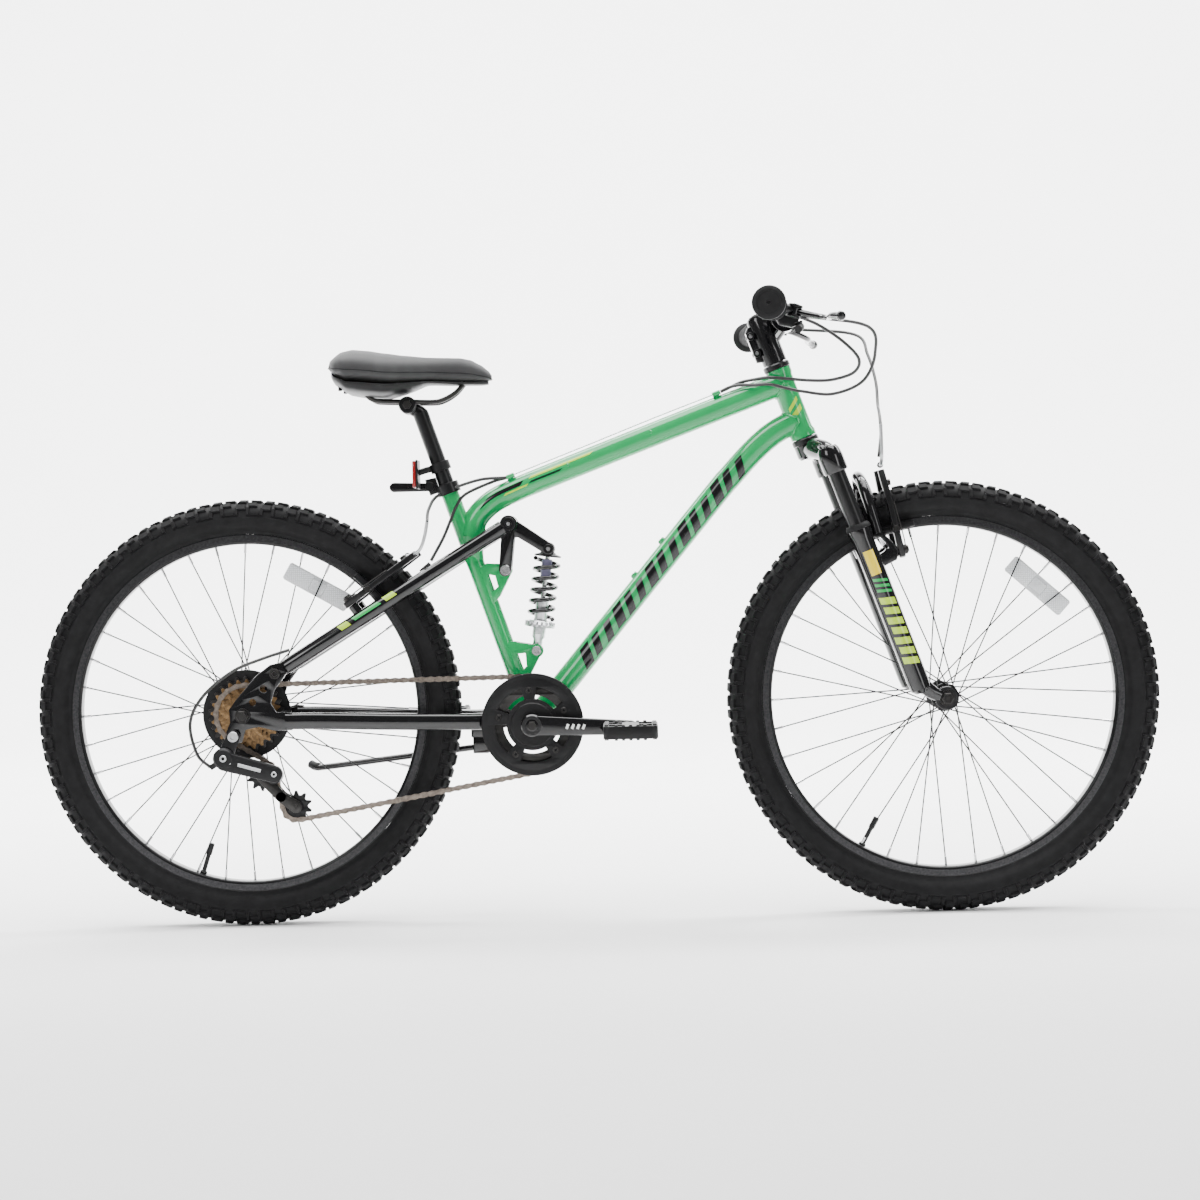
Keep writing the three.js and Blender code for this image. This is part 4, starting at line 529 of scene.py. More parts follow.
def piece(name, shapes, material, body, nodes=()):
    """An object of these shapes that rides on a body and stands for the CAD nodes named.
    A body given as a tuple holds two bodies and two places, which are not used: the piece then rides on no
    body."""
    points, faces = merged(shapes)
    data = bpy.data.meshes.new(name)
    data.from_pydata([p * MM for p in points], [], faces)
    mesh = bmesh.new()
    mesh.from_mesh(data)
    bmesh.ops.remove_doubles(mesh, verts=mesh.verts, dist=0.002 * MM)
    bmesh.ops.recalc_face_normals(mesh, faces=mesh.faces)
    for face in mesh.faces:
        face.smooth = True
    for edge in mesh.edges:
        edge.smooth = len(edge.link_faces) == 2 and edge.calc_face_angle(0) < SHARP_ANGLE
    mesh.to_mesh(data)
    mesh.free()
    data.materials.append(material)
    thing = bpy.data.objects.new(name, data)
    bpy.context.scene.collection.objects.link(thing)
    if isinstance(body, tuple):
        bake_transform(thing)
    else:
        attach(thing, body)
    if nodes:
        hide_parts(*nodes)
    return thing


# ---------------------------------------------------------------------------
# Tyres
# ---------------------------------------------------------------------------


def tyre_frame(turn, section):
    """The place on the tyre's skin at an angle round the wheel and an angle round the
    section (90 degrees is the middle of the tread), with the skin's three directions."""
    radial = at(math.cos(turn), 0, math.sin(turn))
    along = at(-math.sin(turn), 0, math.cos(turn))
    outward = (radial * math.sin(section) - Y_AXIS * math.cos(section)).normalized()
    across = outward.cross(along)
    place = radial * (SECTION_CENTRE + SECTION_RADIUS * math.sin(section))
    return place - Y_AXIS * SECTION_HALF_WIDTH * math.cos(section), outward, along, across


def knob(turn, section, length, width, height, slant=0.0):
    """A tread block: length runs round the wheel, width across it."""
    place, outward, along, across = tyre_frame(turn, section)
    points = []
    for level, share in ((-2.0, 1.0), (height - 0.8, 0.94), (height, 0.82)):
        for u, v in ((-1, -1), (1, -1), (1, 1), (-1, 1)):
            shift = slant * v * width / 2
            points.append(place + outward * level + along * (u * length / 2 * share + shift)
                          + across * v * width / 2 * share)
    faces = [(8, 9, 10, 11)]
    for low in (0, 4):
        for k in range(4):
            n = (k + 1) % 4
            faces.append((low + k, low + n, low + n + 4, low + k + 4))
    return points, faces


def tyre_shape():
    start = math.radians(-56)
    sweep = math.pi - 2 * start
    steps = 40
    profile = [(RIM_EDGE + 0.6, -RIM_HALF + 0.4)]
    for i in range(steps + 1):
        section = start + sweep * i / steps
        from_side = min(abs(section - math.radians(3)), abs(section - math.radians(177)))
        ridge = 0.7 if from_side < math.radians(3) else 0
        profile.append((SECTION_CENTRE + (SECTION_RADIUS + ridge) * math.sin(section),
                        -(SECTION_HALF_WIDTH + ridge) * math.cos(section)))
    profile.append((RIM_EDGE + 0.6, RIM_HALF - 0.4))
    return turned([(r, y) for r, y in profile], ORIGIN, Y_AXIS, 128, ring=True)


def tread_shapes():
    """Centre blocks in pairs, shoulder blocks, and U-shaped knobs on the side walls."""
    shapes = []
    for i in range(KNOB_PITCHES):
        turn = math.tau * i / KNOB_PITCHES
        half = math.tau / KNOB_PITCHES / 2
        for side in (-1, 1):
            def section(degrees):
                return math.radians(90 + side * degrees)
            shapes.append(knob(turn, section(11), 15, 7.5, 3.0, 0.25 * side))
            shapes.append(knob(turn + half, section(17), 12, 11, 3.0, -0.2 * side))
            shapes.append(knob(turn + half * 0.2, section(38), 13, 9, 3.1, 0.15 * side))
            shapes.append(knob(turn + half * 1.1, section(50), 14, 10, 3.0))
            shapes.append(knob(turn - half * 0.55, section(65), 4.5, 13, 2.4))
            shapes.append(knob(turn + half * 0.55, section(65), 4.5, 13, 2.4))
            shapes.append(knob(turn, section(76), 15.5, 3.6, 1.8))
    return shapes


# ---------------------------------------------------------------------------
# Wheels
# ---------------------------------------------------------------------------


def rim_shape():
    """A box-section rim with rounded inner corners and turned-in hooks."""
    half = RIM_HALF
    corner = [
        (
            RIM_INNER + 4.5 - 4.5 * math.sin(math.pi / 2 * i / 5),
            half - 4.5 + 4.5 * math.cos(math.pi / 2 * i / 5)
        )
        for i in range(6)
    ]
    outer = [(RIM_EDGE + 0.5, half - 1.5), (RIM_EDGE + 0.5, half)]
    right = [(r, -y) for r, y in reversed([*outer, *corner])]
    return turned([*outer, *corner, *right, (RIM_INNER + 5, -half + 2), (RIM_INNER + 5, half - 2)],
                  ORIGIN, Y_AXIS, 128, ring=True)


def brake_track_shapes():
    half = RIM_HALF
    return [
        both_sides(
            turned(
                [(249.5, half - 0.2), (249.5, half + 0.12), (258.2, half + 0.12), (258.2, half - 0.2)],
                ORIGIN, Y_AXIS, 128, ring=True
            )
        ),
    ]


def spoke_and_nipple_shapes(flanges, head_radius):
    """Three-cross lacing, alternate spokes leaving each flange's two faces."""
    spokes, nipples = [], []
    for i in range(SPOKES):
        turn = math.tau * i / SPOKES
        flange = flanges[i % 2]
        outward = math.copysign(1, flange)
        leads = (i // 2) % 2 == 0
        hub_turn = turn + (math.pi / 3 if leads else -math.pi / 3)
        face = flange + outward * (-2.7 if leads else 2.7)
        start = at(head_radius * math.cos(hub_turn), face, head_radius * math.sin(hub_turn))
        end = at(243 * math.cos(turn), outward * 2.5, 243 * math.sin(turn))
        spokes.append(tube([start, end], 1.0, 8))
        spokes.append(rod(start - Y_AXIS * 1.6, start + Y_AXIS * 1.6, 1.7, 8, bevel=0.4))
        toward = (end - start).normalized()
        nipples.append(rod(end - toward * 11, end + toward * 2.5, 1.9, 8, bevel=0.4))
    return spokes, nipples


def valve_shapes(turn, inward_length=44):
    radial = at(math.cos(turn), 0, math.sin(turn))
    stem = rod(radial * 247, radial * (247 - inward_length), 3.3, 16)
    cap = rod(radial * (247 - inward_length + 14), radial * (247 - inward_length - 4), 4.3, 16, bevel=1)
    collar = rod(radial * 247, radial * 241, 5.2, 16, bevel=1)
    return [stem, cap, collar]


REFLECTOR_RADIUS = 208        # from the axle to a wheel reflector's middle


def reflector_shapes(turn):
    """A wheel reflector: two prism panels on a bar that clips round the spokes."""
    radial = at(math.cos(turn), 0, math.sin(turn))
    along = at(-math.sin(turn), 0, math.cos(turn))
    place = Matrix((along, -Y_AXIS, radial)).transposed().to_4x4()
    place.translation = radial * REFLECTOR_RADIUS
    panels = [moved(block((41, 5, 25), at(x, 0, 0), 2, 3), place) for x in (-31, 31)]
    clip = [
        moved(block((22, 8, 17), ORIGIN, 2, 2), place),
        moved(block((100, 3.4, 27.5), at(0, -0.4, 0), 1.5), place),
    ]
    return panels, clip


def hub_shape(right, left, flange_radius, ends):
    barrel = 9.5
    profile = [
        (0, ends[0]), (12, ends[0]), (12.6, ends[0] + 0.8), (12.6, right - 3),
        (flange_radius - 0.8, right - 1.6), (flange_radius, right - 0.8), (flange_radius, right + 0.8),
        (flange_radius - 0.8, right + 1.6), (14, right + 3), (barrel, right + 11), (barrel, left - 11),
        (14, left - 3), (flange_radius - 0.8, left - 1.6), (flange_radius, left - 0.8),
        (flange_radius, left + 0.8), (flange_radius - 0.8, left + 1.6), (12.6, left + 3),
        (12.6, ends[1] - 0.8), (12, ends[1]), (0, ends[1]),
    ]
    return turned(profile, ORIGIN, Y_AXIS, 40)


def axle_shapes(hub_half, length):
    shapes = []
    for side in (-1, 1):
        outside = side * (hub_half + DROPOUT_PLATE)
        axis = Y_AXIS * side
        shapes.append(turned([(0, 0.2), (11, 0.2), (11, 1.8), (0, 1.8)], Y_AXIS * outside, axis, 32))
        shapes.append(hexagon(Y_AXIS * (outside + side * 1.8), axis, 8.6, 7.5, 1))
        shapes.append(rod(Y_AXIS * (outside + side * 9), Y_AXIS * side * length, 4.6, 20, bevel=1))
    return shapes


def wheel(end, place, flanges, flange_radius, hub_ends, valve_turn, reflector_turn,
          body, axle_body, hub_half, axle_length):
    there = Matrix.Translation(place)

    def put(name, shapes, material, nodes=(), on=body):
        piece(f"{end}_{name}", [moved(s, there) for s in shapes], material, on, nodes)

    put("tyre_casing", [tyre_shape()], TYRE, [f"{end}_tyre"])
    put("tread", tread_shapes(), KNOB)
    put("rim_hoop", [rim_shape()], BLACK_RIM, [f"{end}_rim"])
    put("brake_tracks", brake_track_shapes(), BRAKE_TRACK)
    spokes, nipples = spoke_and_nipple_shapes(flanges, flange_radius - 3)
    put("laced_spokes", spokes, BLACK_SPOKE, [f"{end}_spokes"])
    put("nipples", nipples, BRIGHT_STEEL)
    put("valve", valve_shapes(valve_turn), BLACK_PLASTIC)
    panels, clip = reflector_shapes(reflector_turn)
    put("reflector_panels", panels, CLEAR_PRISM, [f"{end}_wheel_reflector"])
    put("reflector_clip", clip, CLEAR_PRISM)
    put(
        "hub_shell", [hub_shape(*flanges, flange_radius, hub_ends)], SATIN_BLACK,
        [f"{end}_hub"]
    )
    put(
        "axle_nuts", axle_shapes(hub_half, axle_length), DARK_STEEL, [f"{end}_axle"],
        axle_body
    )


def make_wheels():
    wheel("front", FRONT_AXLE, (-32, 32), 20, (-48, 48), math.radians(240.5), math.radians(48),
          "front_wheel", "fork_slider", FRONT_HUB_HALF, 66)
    wheel("rear", REAR_AXLE, (-21, 33), 24, (-56, 62), math.radians(252), math.radians(60),
          "rear_wheel", "swingarm", REAR_HUB_HALF, 82)
    protector = turned(
        [(12, -31), (63.5, -31), (64, -30.5), (63.5, -30), (12, -30)], REAR_AXLE, Y_AXIS, 96, ring=True
    )
    piece("spoke_protector", [protector], BLACK_PLASTIC, "rear_wheel")


make_wheels()

# ---------------------------------------------------------------------------
# Tube paint, welds and decals
# ---------------------------------------------------------------------------


def weld(start, axis, radius, other, other_axis, other_radius, bead=1.9):
    """The bead where a tube that starts inside another tube comes out of its wall."""
    axis, other_axis = axis.normalized(), other_axis.normalized()
    side = Y_AXIS
    up = axis.cross(side)
    line = []
    for k in range(49):
        angle = math.tau * k / 48
        offset = start + (side * math.cos(angle) + up * math.sin(angle)) * radius - other
        flat = offset - other_axis * offset.dot(other_axis)
        step = axis - other_axis * axis.dot(other_axis)
        a, b, c = step.dot(step), flat.dot(step), flat.dot(flat) - other_radius ** 2
        along = (-b + math.sqrt(max(0, b * b - a * c))) / a
        line.append(other + offset + axis * along)
    return tube(line, lambda share: bead * (1 + 0.12 * math.sin(share * math.tau * 30)), 10, ends=False)


def decal(line, radius, starts, ends, low, high, lift=0.25, steps=24):
    """A thin patch on a tube's drive side. It runs from starts to ends, each the pair of
    distances along the tube at its low and high edges; low and high are angles in
    degrees above the tube's drive-side middle."""
    lengths = [0.0]
    for a, b in zip(line, line[1:]):
        lengths.append(lengths[-1] + (b - a).length)

    def place(distance, degrees, size):
        i = max(k for k in range(len(lengths) - 1) if lengths[k] <= distance or k == 0)
        share = (distance - lengths[i]) / (lengths[i + 1] - lengths[i])
        centre = line[i].lerp(line[i + 1], share)
        ahead = (line[i + 1] - line[i]).normalized()
        up = ahead.cross(Y_AXIS) * -1
        if up.z < 0:
            up = up * -1
        angle = math.radians(degrees)
        return centre + (-Y_AXIS * math.cos(angle) + up * math.sin(angle)) * size

    points, faces = [], []
    rows = 9
    for size in (radius - 0.6, radius + lift):
        for r in range(rows):
            share = r / (rows - 1)
            first = starts[0] + (starts[1] - starts[0]) * share
            last = ends[0] + (ends[1] - ends[0]) * share
            for i in range(steps + 1):
                points.append(place(first + (last - first) * i / steps, low + (high - low) * share, size))
    row = steps + 1
    layer = rows * row
    for r in range(rows - 1):
        for i in range(steps):
            a = r * row + i
            faces.append((a, a + row, a + row + 1, a + 1))
            faces.append(tuple(layer + k for k in (a, a + 1, a + row + 1, a + row)))
    border = [*range(row), *range(2 * row - 1, layer, row),
              *range(layer - 2, layer - row - 1, -1), *range(layer - 2 * row, 0, -row)]
    for a, b in zip(border, border[1:] + border[:1]):
        faces.append((a, b, b + layer, a + layer))
    return points, faces


def steering_matrix():
    lean = STEERING_ANGLE - math.pi / 2
    return Matrix.Translation(HEAD_TUBE_BOTTOM) @ Matrix.Rotation(lean, 4, "Y")


STEERING = steering_matrix()


def in_steering(x, y, z):
    return STEERING @ at(x, y, z)


def on_seat_tube(height):
    return BOTTOM_BRACKET + SEAT_TUBE_LEAN * height


# ---------------------------------------------------------------------------
# Main frame
# ---------------------------------------------------------------------------

TOP_TUBE_RADIUS = 17.5
DOWN_TUBE_RADIUS = 18
SEAT_TUBE_RADIUS = 13
TOP_TUBE = spline([at(290, 0, 767.3), at(131, 0, 709.4), at(-56, 0, 640.8), at(-104, 0, 622.5),
                   at(-139, 0, 606), at(-163, 0, 583), at(-171, 0, 556)], 10)
DOWN_TUBE = spline([at(-88, 0, 285.5), at(10, 0, 402.3), at(174.9, 0, 598.8), at(205, 0, 633),
                    at(238, 0, 668), at(268, 0, 693), at(302, 0, 711)], 10)


def gusset_plates(outline, hole, eye):
    round_eye = circle(eye.x, eye.z, 4.4, 20)
    sheet = [plate([outline, hole, round_eye], 8.7, 12.5, 0.7)]
    lug = turned([(4.4, 8.5), (9.3, 8.5), (9.8, 9), (9.8, 12.4), (9.3, 12.9), (4.4, 12.9)],
                 at(eye.x, 0, eye.z), Y_AXIS, 28, ring=True)
    return both_sides(merged([*sheet, lug]))


def head_tube_shape():
    top = HEAD_TUBE_LENGTH
    profile = [(15, 0), (18.2, 0), (18.8, 0.6), (18.8, 8), (17.2, 13), (17.2, top - 13), (18.8, top - 8),
               (18.8, top - 0.6), (18.2, top), (15, top)]
    return moved(turned(profile, ORIGIN, Z_AXIS, 48, ring=True), STEERING)


def bottle_boss(end):
    outward = at(-0.766, 0, 0.643)
    collar = rod(end - outward * 10, end - outward * 0.2, 5.8, 20, bevel=1.4)
    screw = socket_head(end - outward * 1.4, outward, 4.2, 1.6)
    return collar, screw


def cable_stop(x, y):
    base = 684.232 if x > 0 else 682.8
    centre = at(x, y, base + x * 0.364)
    along = at(1, 0, 0.364).normalized()
    return turned(
        [(1.6, -6), (3.2, -6), (3.4, -5), (3.4, 5), (3.2, 6), (1.6, 6)], centre, along, 16, ring=True
    )


def make_frame():
    top_foot = tube(spline([at(-171, 0, 558), at(-168, 0, 532), at(-160, 0, 503)], 8),
                    lambda share: TOP_TUBE_RADIUS - 10 * share ** 1.5, 32)
    shell = turned([(17.3, -34), (19.9, -34), (20.5, -33.4), (20.5, 33.4), (19.9, 34), (17.3, 34)],
                   BOTTOM_BRACKET, Y_AXIS, 40, ring=True)
    barrel = turned([(5.3, -25), (11.9, -25), (12.5, -24.4), (12.5, 24.4), (11.9, 25), (5.3, 25)],
                    MAIN_PIVOT, Y_AXIS, 36, ring=True)
    pivot_plate = plate([[(-130, 307.4), (-104, 331), (-88, 303), (-88, 269), (-129, 282.6)]], 16, 22, 0.8)
    shock_gusset = gusset_plates(
        [(-128, 398), (-118, 404), (-86, 398), (-73, 387), (-90, 355), (-108, 336)],
        [(-110, 385), (-97, 386), (-96, 367), (-102, 361)], SHOCK_LOW)
    rocker_gusset = gusset_plates(
        [(-161, 511), (-150, 517), (-126, 515.5), (-114, 503), (-131, 470), (-143, 455)],
        [(-149, 501), (-138, 499), (-134, 483), (-142, 476)], ROCKER_PIVOT)
    head_axis = in_steering(0, 0, 1) - in_steering(0, 0, 0)
    head_centre = in_steering(0, 0, 0)
    welds = [
        weld(at(290, 0, 767.3), at(-1, 0, -0.364), TOP_TUBE_RADIUS, head_centre, head_axis, 17.2),
        weld(at(302, 0, 711), at(-34, 0, -18), DOWN_TUBE_RADIUS, head_centre, head_axis, 17.2),
        weld(BOTTOM_BRACKET, SEAT_TUBE_LEAN, SEAT_TUBE_RADIUS, BOTTOM_BRACKET, Y_AXIS, 20.5),
        weld(BOTTOM_BRACKET, at(98, 0, 116.8), DOWN_TUBE_RADIUS, BOTTOM_BRACKET, Y_AXIS, 20.5),
    ]
    seat_top = turned([(11.9, 0), (13, 0), (13, 120), (12.7, 121.3), (11.9, 121.3)],
                      on_seat_tube(244.7), SEAT_TUBE_LEAN, 32, ring=True)
    bosses, screws = zip(*(bottle_boss(end) for end in (at(101, 0, 544.9), at(60.4, 0, 496.3))))
    stops = [cable_stop(x, y) for x in (187, -112) for y in (-10, -3)]
    stop_feet = [moved(block((9, 4.5, 14), ORIGIN, 1.2), Matrix.Translation(at(x, -6.5, z)))
                 for x, z in ((187, 744.5), (-112, 635))]
    guides = [tube(spline([at(x, -15, z - 3), at(x + 3, -17, z), at(x, -15, z + 3)], 4), 1.6, 8)
              for x, z in ((-30, 655), (90, 699))]
    shapes = [
        tube(TOP_TUBE, TOP_TUBE_RADIUS, 48), top_foot, tube(DOWN_TUBE, DOWN_TUBE_RADIUS, 48),
        rod(BOTTOM_BRACKET, on_seat_tube(246), SEAT_TUBE_RADIUS, 32, bevel=0.2), seat_top, shell, barrel,
        both_sides(pivot_plate), shock_gusset, rocker_gusset, head_tube_shape(), *welds, *bosses,
        *stops, *stop_feet, *guides,
    ]
    piece("frame_tubes", shapes, GREEN, "frame", ["main_frame"])
    piece("bottle_screws", list(screws), BRIGHT_STEEL, "frame")


def make_frame_decals():
    """Plain stripes and slanted bars; they stand where the real frame has its graphics."""
    slant = 16
    bars = []
    for i in range(15):
        start = 107 + i * 25
        reach = 14 if i % 3 else 18
        bars.append(
            decal(
                DOWN_TUBE, DOWN_TUBE_RADIUS, (start, start + slant), (start + reach, start + reach + slant),
                -46 + 4 * (i % 2), 44 - 6 * (i % 3)
            )
        )
    top_black = [decal(TOP_TUBE, TOP_TUBE_RADIUS, (412, 405), (480, 462), 8, 26),
                 decal(TOP_TUBE, TOP_TUBE_RADIUS, (352, 346), (400, 395), 2, 10)]
    top_lime = [decal(TOP_TUBE, TOP_TUBE_RADIUS, (303, 296), (398, 392), 22, 34),
                decal(TOP_TUBE, TOP_TUBE_RADIUS, (404, 400), (440, 436), -6, 2)]
    piece("frame_black_bars", bars + top_black, BLACK_DECAL, "frame")
    head = [in_steering(0, 0, z) for z in (10, 40, 70, 100)]
    head_lime = [
        decal(head, 17.2, (16, 30), (24, 38), -30, 40), decal(head, 17.2, (30, 44), (36, 50), -24, 34),
    ]
    piece("frame_lime_stripes", top_lime + head_lime, LIME, "frame")


def make_headset():
    def cup(z0, z1):
        low, high = min(z0, z1), max(z0, z1)
        return moved(turned([(13.4, low), (19, low), (19.5, low + 0.6), (19.5, high - 2.2), (18, high - 0.3),
                             (13.4, high)], ORIGIN, Z_AXIS, 40, ring=True), STEERING)
    piece("upper_cup", [cup(105.3, 113.8)], SATIN_BLACK, "frame", ["upper_headset_cup"])
    piece("lower_cup", [cup(-9, -0.3)], SATIN_BLACK, "frame", ["lower_headset_cup"])


def make_bottom_bracket():
    half = 34
    cup = turned([(8.4, half + 0.2), (19, half + 0.2), (19, half + 2.6), (18.4, half + 3), (8.4, half + 3)],
                 BOTTOM_BRACKET, Y_AXIS, 36, ring=True)
    notches = [moved(block((4, 1.6, 2.4), at(15.5, half + 3.2, 0), 0.3),
                     Matrix.Translation(BOTTOM_BRACKET) @ Matrix.Rotation(math.tau * i / 8, 4, "Y"))
               for i in range(8)]
    sleeve = turned(
        [(8.4, -half), (16.8, -half), (16.8, half), (8.4, half)], BOTTOM_BRACKET, Y_AXIS, 28, ring=True
    )
    piece(
        "bracket_cartridge", [both_sides(cup), *[both_sides(n) for n in notches], sleeve], DARK_STEEL,
        "frame", ["bottom_bracket"]
    )


make_frame()
make_frame_decals()
make_headset()
make_bottom_bracket()

# ---------------------------------------------------------------------------
# Fork
# ---------------------------------------------------------------------------

LEG_X = 20
LEG_Y = 60
AXLE_IN_STEERING = STEERING.inverted() @ FRONT_AXLE


def leg_turned(profile):
    """A turned piece on both fork legs; the profile's second numbers are heights."""
    return both_sides(turned(profile, at(LEG_X, -LEG_Y, 0), Z_AXIS, 40))


def put_steering(name, shapes, material, nodes=(), body="steering"):
    return piece(name, [moved(s, STEERING) for s in shapes], material, body, nodes)


def make_fork():
    crown_race = turned(
        [(0, -30), (16, -30), (19, -26), (19, -10), (18.4, -9.3), (0, -9.3)], ORIGIN, Z_AXIS, 40
    )
    arm = tube(spline([at(2, 0, -19), at(8, -26, -21), at(17, -48, -30), at(LEG_X, -LEG_Y, -42)], 8),
               lambda share: 15.5 - 1.5 * share, 28)
    clamp = [(0, -63), (16.4, -63), (17.6, -61), (17.6, -40), (16, -30), (13, -25), (6, -24), (0, -24)]
    steerer = rod(at(0, 0, -24), at(0, 0, 179), 12.7, 32)
    cap_bolt = both_sides(socket_head(at(LEG_X, -LEG_Y, -24.5), Z_AXIS, 5.5, 1.6))
    put_steering("fork_crown_forging", [crown_race, both_sides(arm), leg_turned(clamp), steerer, cap_bolt],
                 GLOSS_BLACK, ["fork_crown"])
    stanchion = leg_turned([(0, -325), (12.7, -325), (12.7, -60), (0, -60)])
    put_steering("stanchions", [stanchion], SATIN_BLACK)
    make_fork_lowers()


def make_fork_lowers():
    bore, outer = 13.2, 15.5
    leg = [(bore, -146), (16.8, -146), (17.4, -149), (17.4, -158), (outer, -166), (outer, -380), (14.6, -392),
           (9, -397.5), (0, -398), (0, -384), (bore, -384)]
    wiper = [(12.9, -150), (17.8, -150), (18, -149), (18, -146), (15.6, -142), (12.9, -142)]
    foot = tube(
        spline(
            [
                at(LEG_X, -LEG_Y, -376), at(25, -58.5, -388), at(33, -56, -402),
                at(AXLE_IN_STEERING.x - 8, -54.5, AXLE_IN_STEERING.z + 6),
            ],
            6
        ),
        lambda share: 12.5 - 4 * share, 24, across=0.8
    )
    lug = turned([(5, 50), (16, 50), (17, 51), (17, 55), (16, 56), (5, 56)],
                 at(AXLE_IN_STEERING.x, 0, AXLE_IN_STEERING.z), Y_AXIS, 36, ring=True)
    web = plate([[(20, -150), (46, -156), (60, -186), (63, -199), (56, -210), (20, -214)],
                 [(36, -168), (46, -172), (52, -190), (36, -194)]], 34, 50, 1.6, 2)
    boss = rod(at(46, -40, -197.5), at(62, -40, -199), 8, 24, bevel=1)
    arch = tube(
        spline(
            [
                at(44, -52, -165), at(47, -50.5, -125), at(50, -37, -93), at(51, 0, -80), at(50, 37, -93),
                at(47, 50.5, -125), at(44, 52, -165),
            ],
            10
        ),
        8, 28
    )
    rib = tube(spline([at(52, -46, -140), at(54.5, -36, -100), at(55.5, 0, -86), at(54.5, 36, -100),
                       at(52, 46, -140)], 10), 4.4, 16)
    shapes = [both_sides(turned(leg, at(LEG_X, -LEG_Y, 0), Z_AXIS, 40)), both_sides(foot), both_sides(lug),
              both_sides(web), both_sides(boss), arch, rib]
    put_steering("fork_lower_legs", shapes, GLOSS_BLACK, ["fork_lowers"], "fork_slider")
    put_steering("fork_wipers", [both_sides(turned(wiper, at(LEG_X, -LEG_Y, 0), Z_AXIS, 36, ring=True))],
                 GRIP, (), "fork_slider")
    leg_line = [at(LEG_X, -LEG_Y, z) for z in (-160, -220, -280, -340, -390)]
    lime = [
        decal(
            leg_line, outer, (96 + i * 15, 90 + i * 15), (106 + i * 15, 100 + i * 15), -46, 40 - 6 * (i % 2)
        )
        for i in range(7)
    ]
    green = [
        decal(leg_line, outer, (68 + i * 8, 62 + i * 8), (72 + i * 8, 66 + i * 8), -46, 34)
        for i in range(3)
    ]
    yellow = [decal(leg_line, outer, (22, 22), (58, 58), -26, 30)]
    put_steering("fork_lime_bars", lime, LIME, (), "fork_slider")
    put_steering("fork_green_bars", green, GREEN_DECAL, (), "fork_slider")
    put_steering("fork_yellow_patch", yellow, YELLOW, (), "fork_slider")


make_fork()

# ---------------------------------------------------------------------------
# Rear suspension
# ---------------------------------------------------------------------------

STAY_LEAN = (ROCKER_TOP - STAY_PIVOT).normalized()


def on_stay(distance, y):
    return STAY_PIVOT + STAY_LEAN * distance + at(0, y, 0)


def make_swingarm():
    arm = tube(
        spline(
            [
                at(-129, -31.5, 294), at(-158, -33.5, 290.5), at(-205, -42, 291.5), at(-300, -56, 295),
                at(-390, -67, 299), at(-440, -69.5, 300),
            ],
            8
        ),
        12, 32, across=0.62
    )
    eye = turned([(5.3, 26), (13.2, 26), (14, 26.8), (14, 37.7), (13.2, 38.5), (5.3, 38.5)],
                 MAIN_PIVOT, Y_AXIS, 36, ring=True)
    outline = [
        (-446, 384), (-435, 370), (-454, 345), (-460, 326), (-452, 313), (-430, 312), (-430, 287),
        (-456, 287), (-478, 293), (-497, 289), (-503, 271), (-522, 271), (-525, 287), (-519, 300),
        (-520.5, 318), (-510, 332), (-480, 366), (-460, 381),
    ]
    dropout = plate(
        [
            outline, circle(-470, 347, 5.5), circle(-486, 328, 5), circle(STAY_PIVOT.x, STAY_PIVOT.z, 4.5),
            circle(REAR_AXLE.x, REAR_AXLE.z, 4.9),
        ],
        67.5, 73.5, 0.8
    )
    bridge = rod(at(-163, -34, 290.5), at(-163, 34, 290.5), 9, 28)
    stand = [block((30, 14, 19), at(-167, 41, 271.5), 2), block((24, 10, 28), at(-168, 45, 252), 2)]
    welds = both_sides(
        tube([at(-452, -67.4, 311), at(-440, -68, 313), at(-431, -68, 312)], 2, 10)
    )
    shapes = [both_sides(arm), both_sides(eye), both_sides(dropout), bridge, *stand, welds]
    piece("swingarm_tubes", shapes, GLOSS_BLACK, "swingarm", ["swingarm"])
    head = socket_head(MAIN_PIVOT - Y_AXIS * 38.6, -Y_AXIS, 8.5, 2.4)
    shaft = cross_rod(MAIN_PIVOT, -38, 38, 5, 20)
    piece(
        "main_pivot_axle", [both_sides(head), shaft], DARK_STEEL, "swingarm",
        ["main_pivot_bolt"]
    )


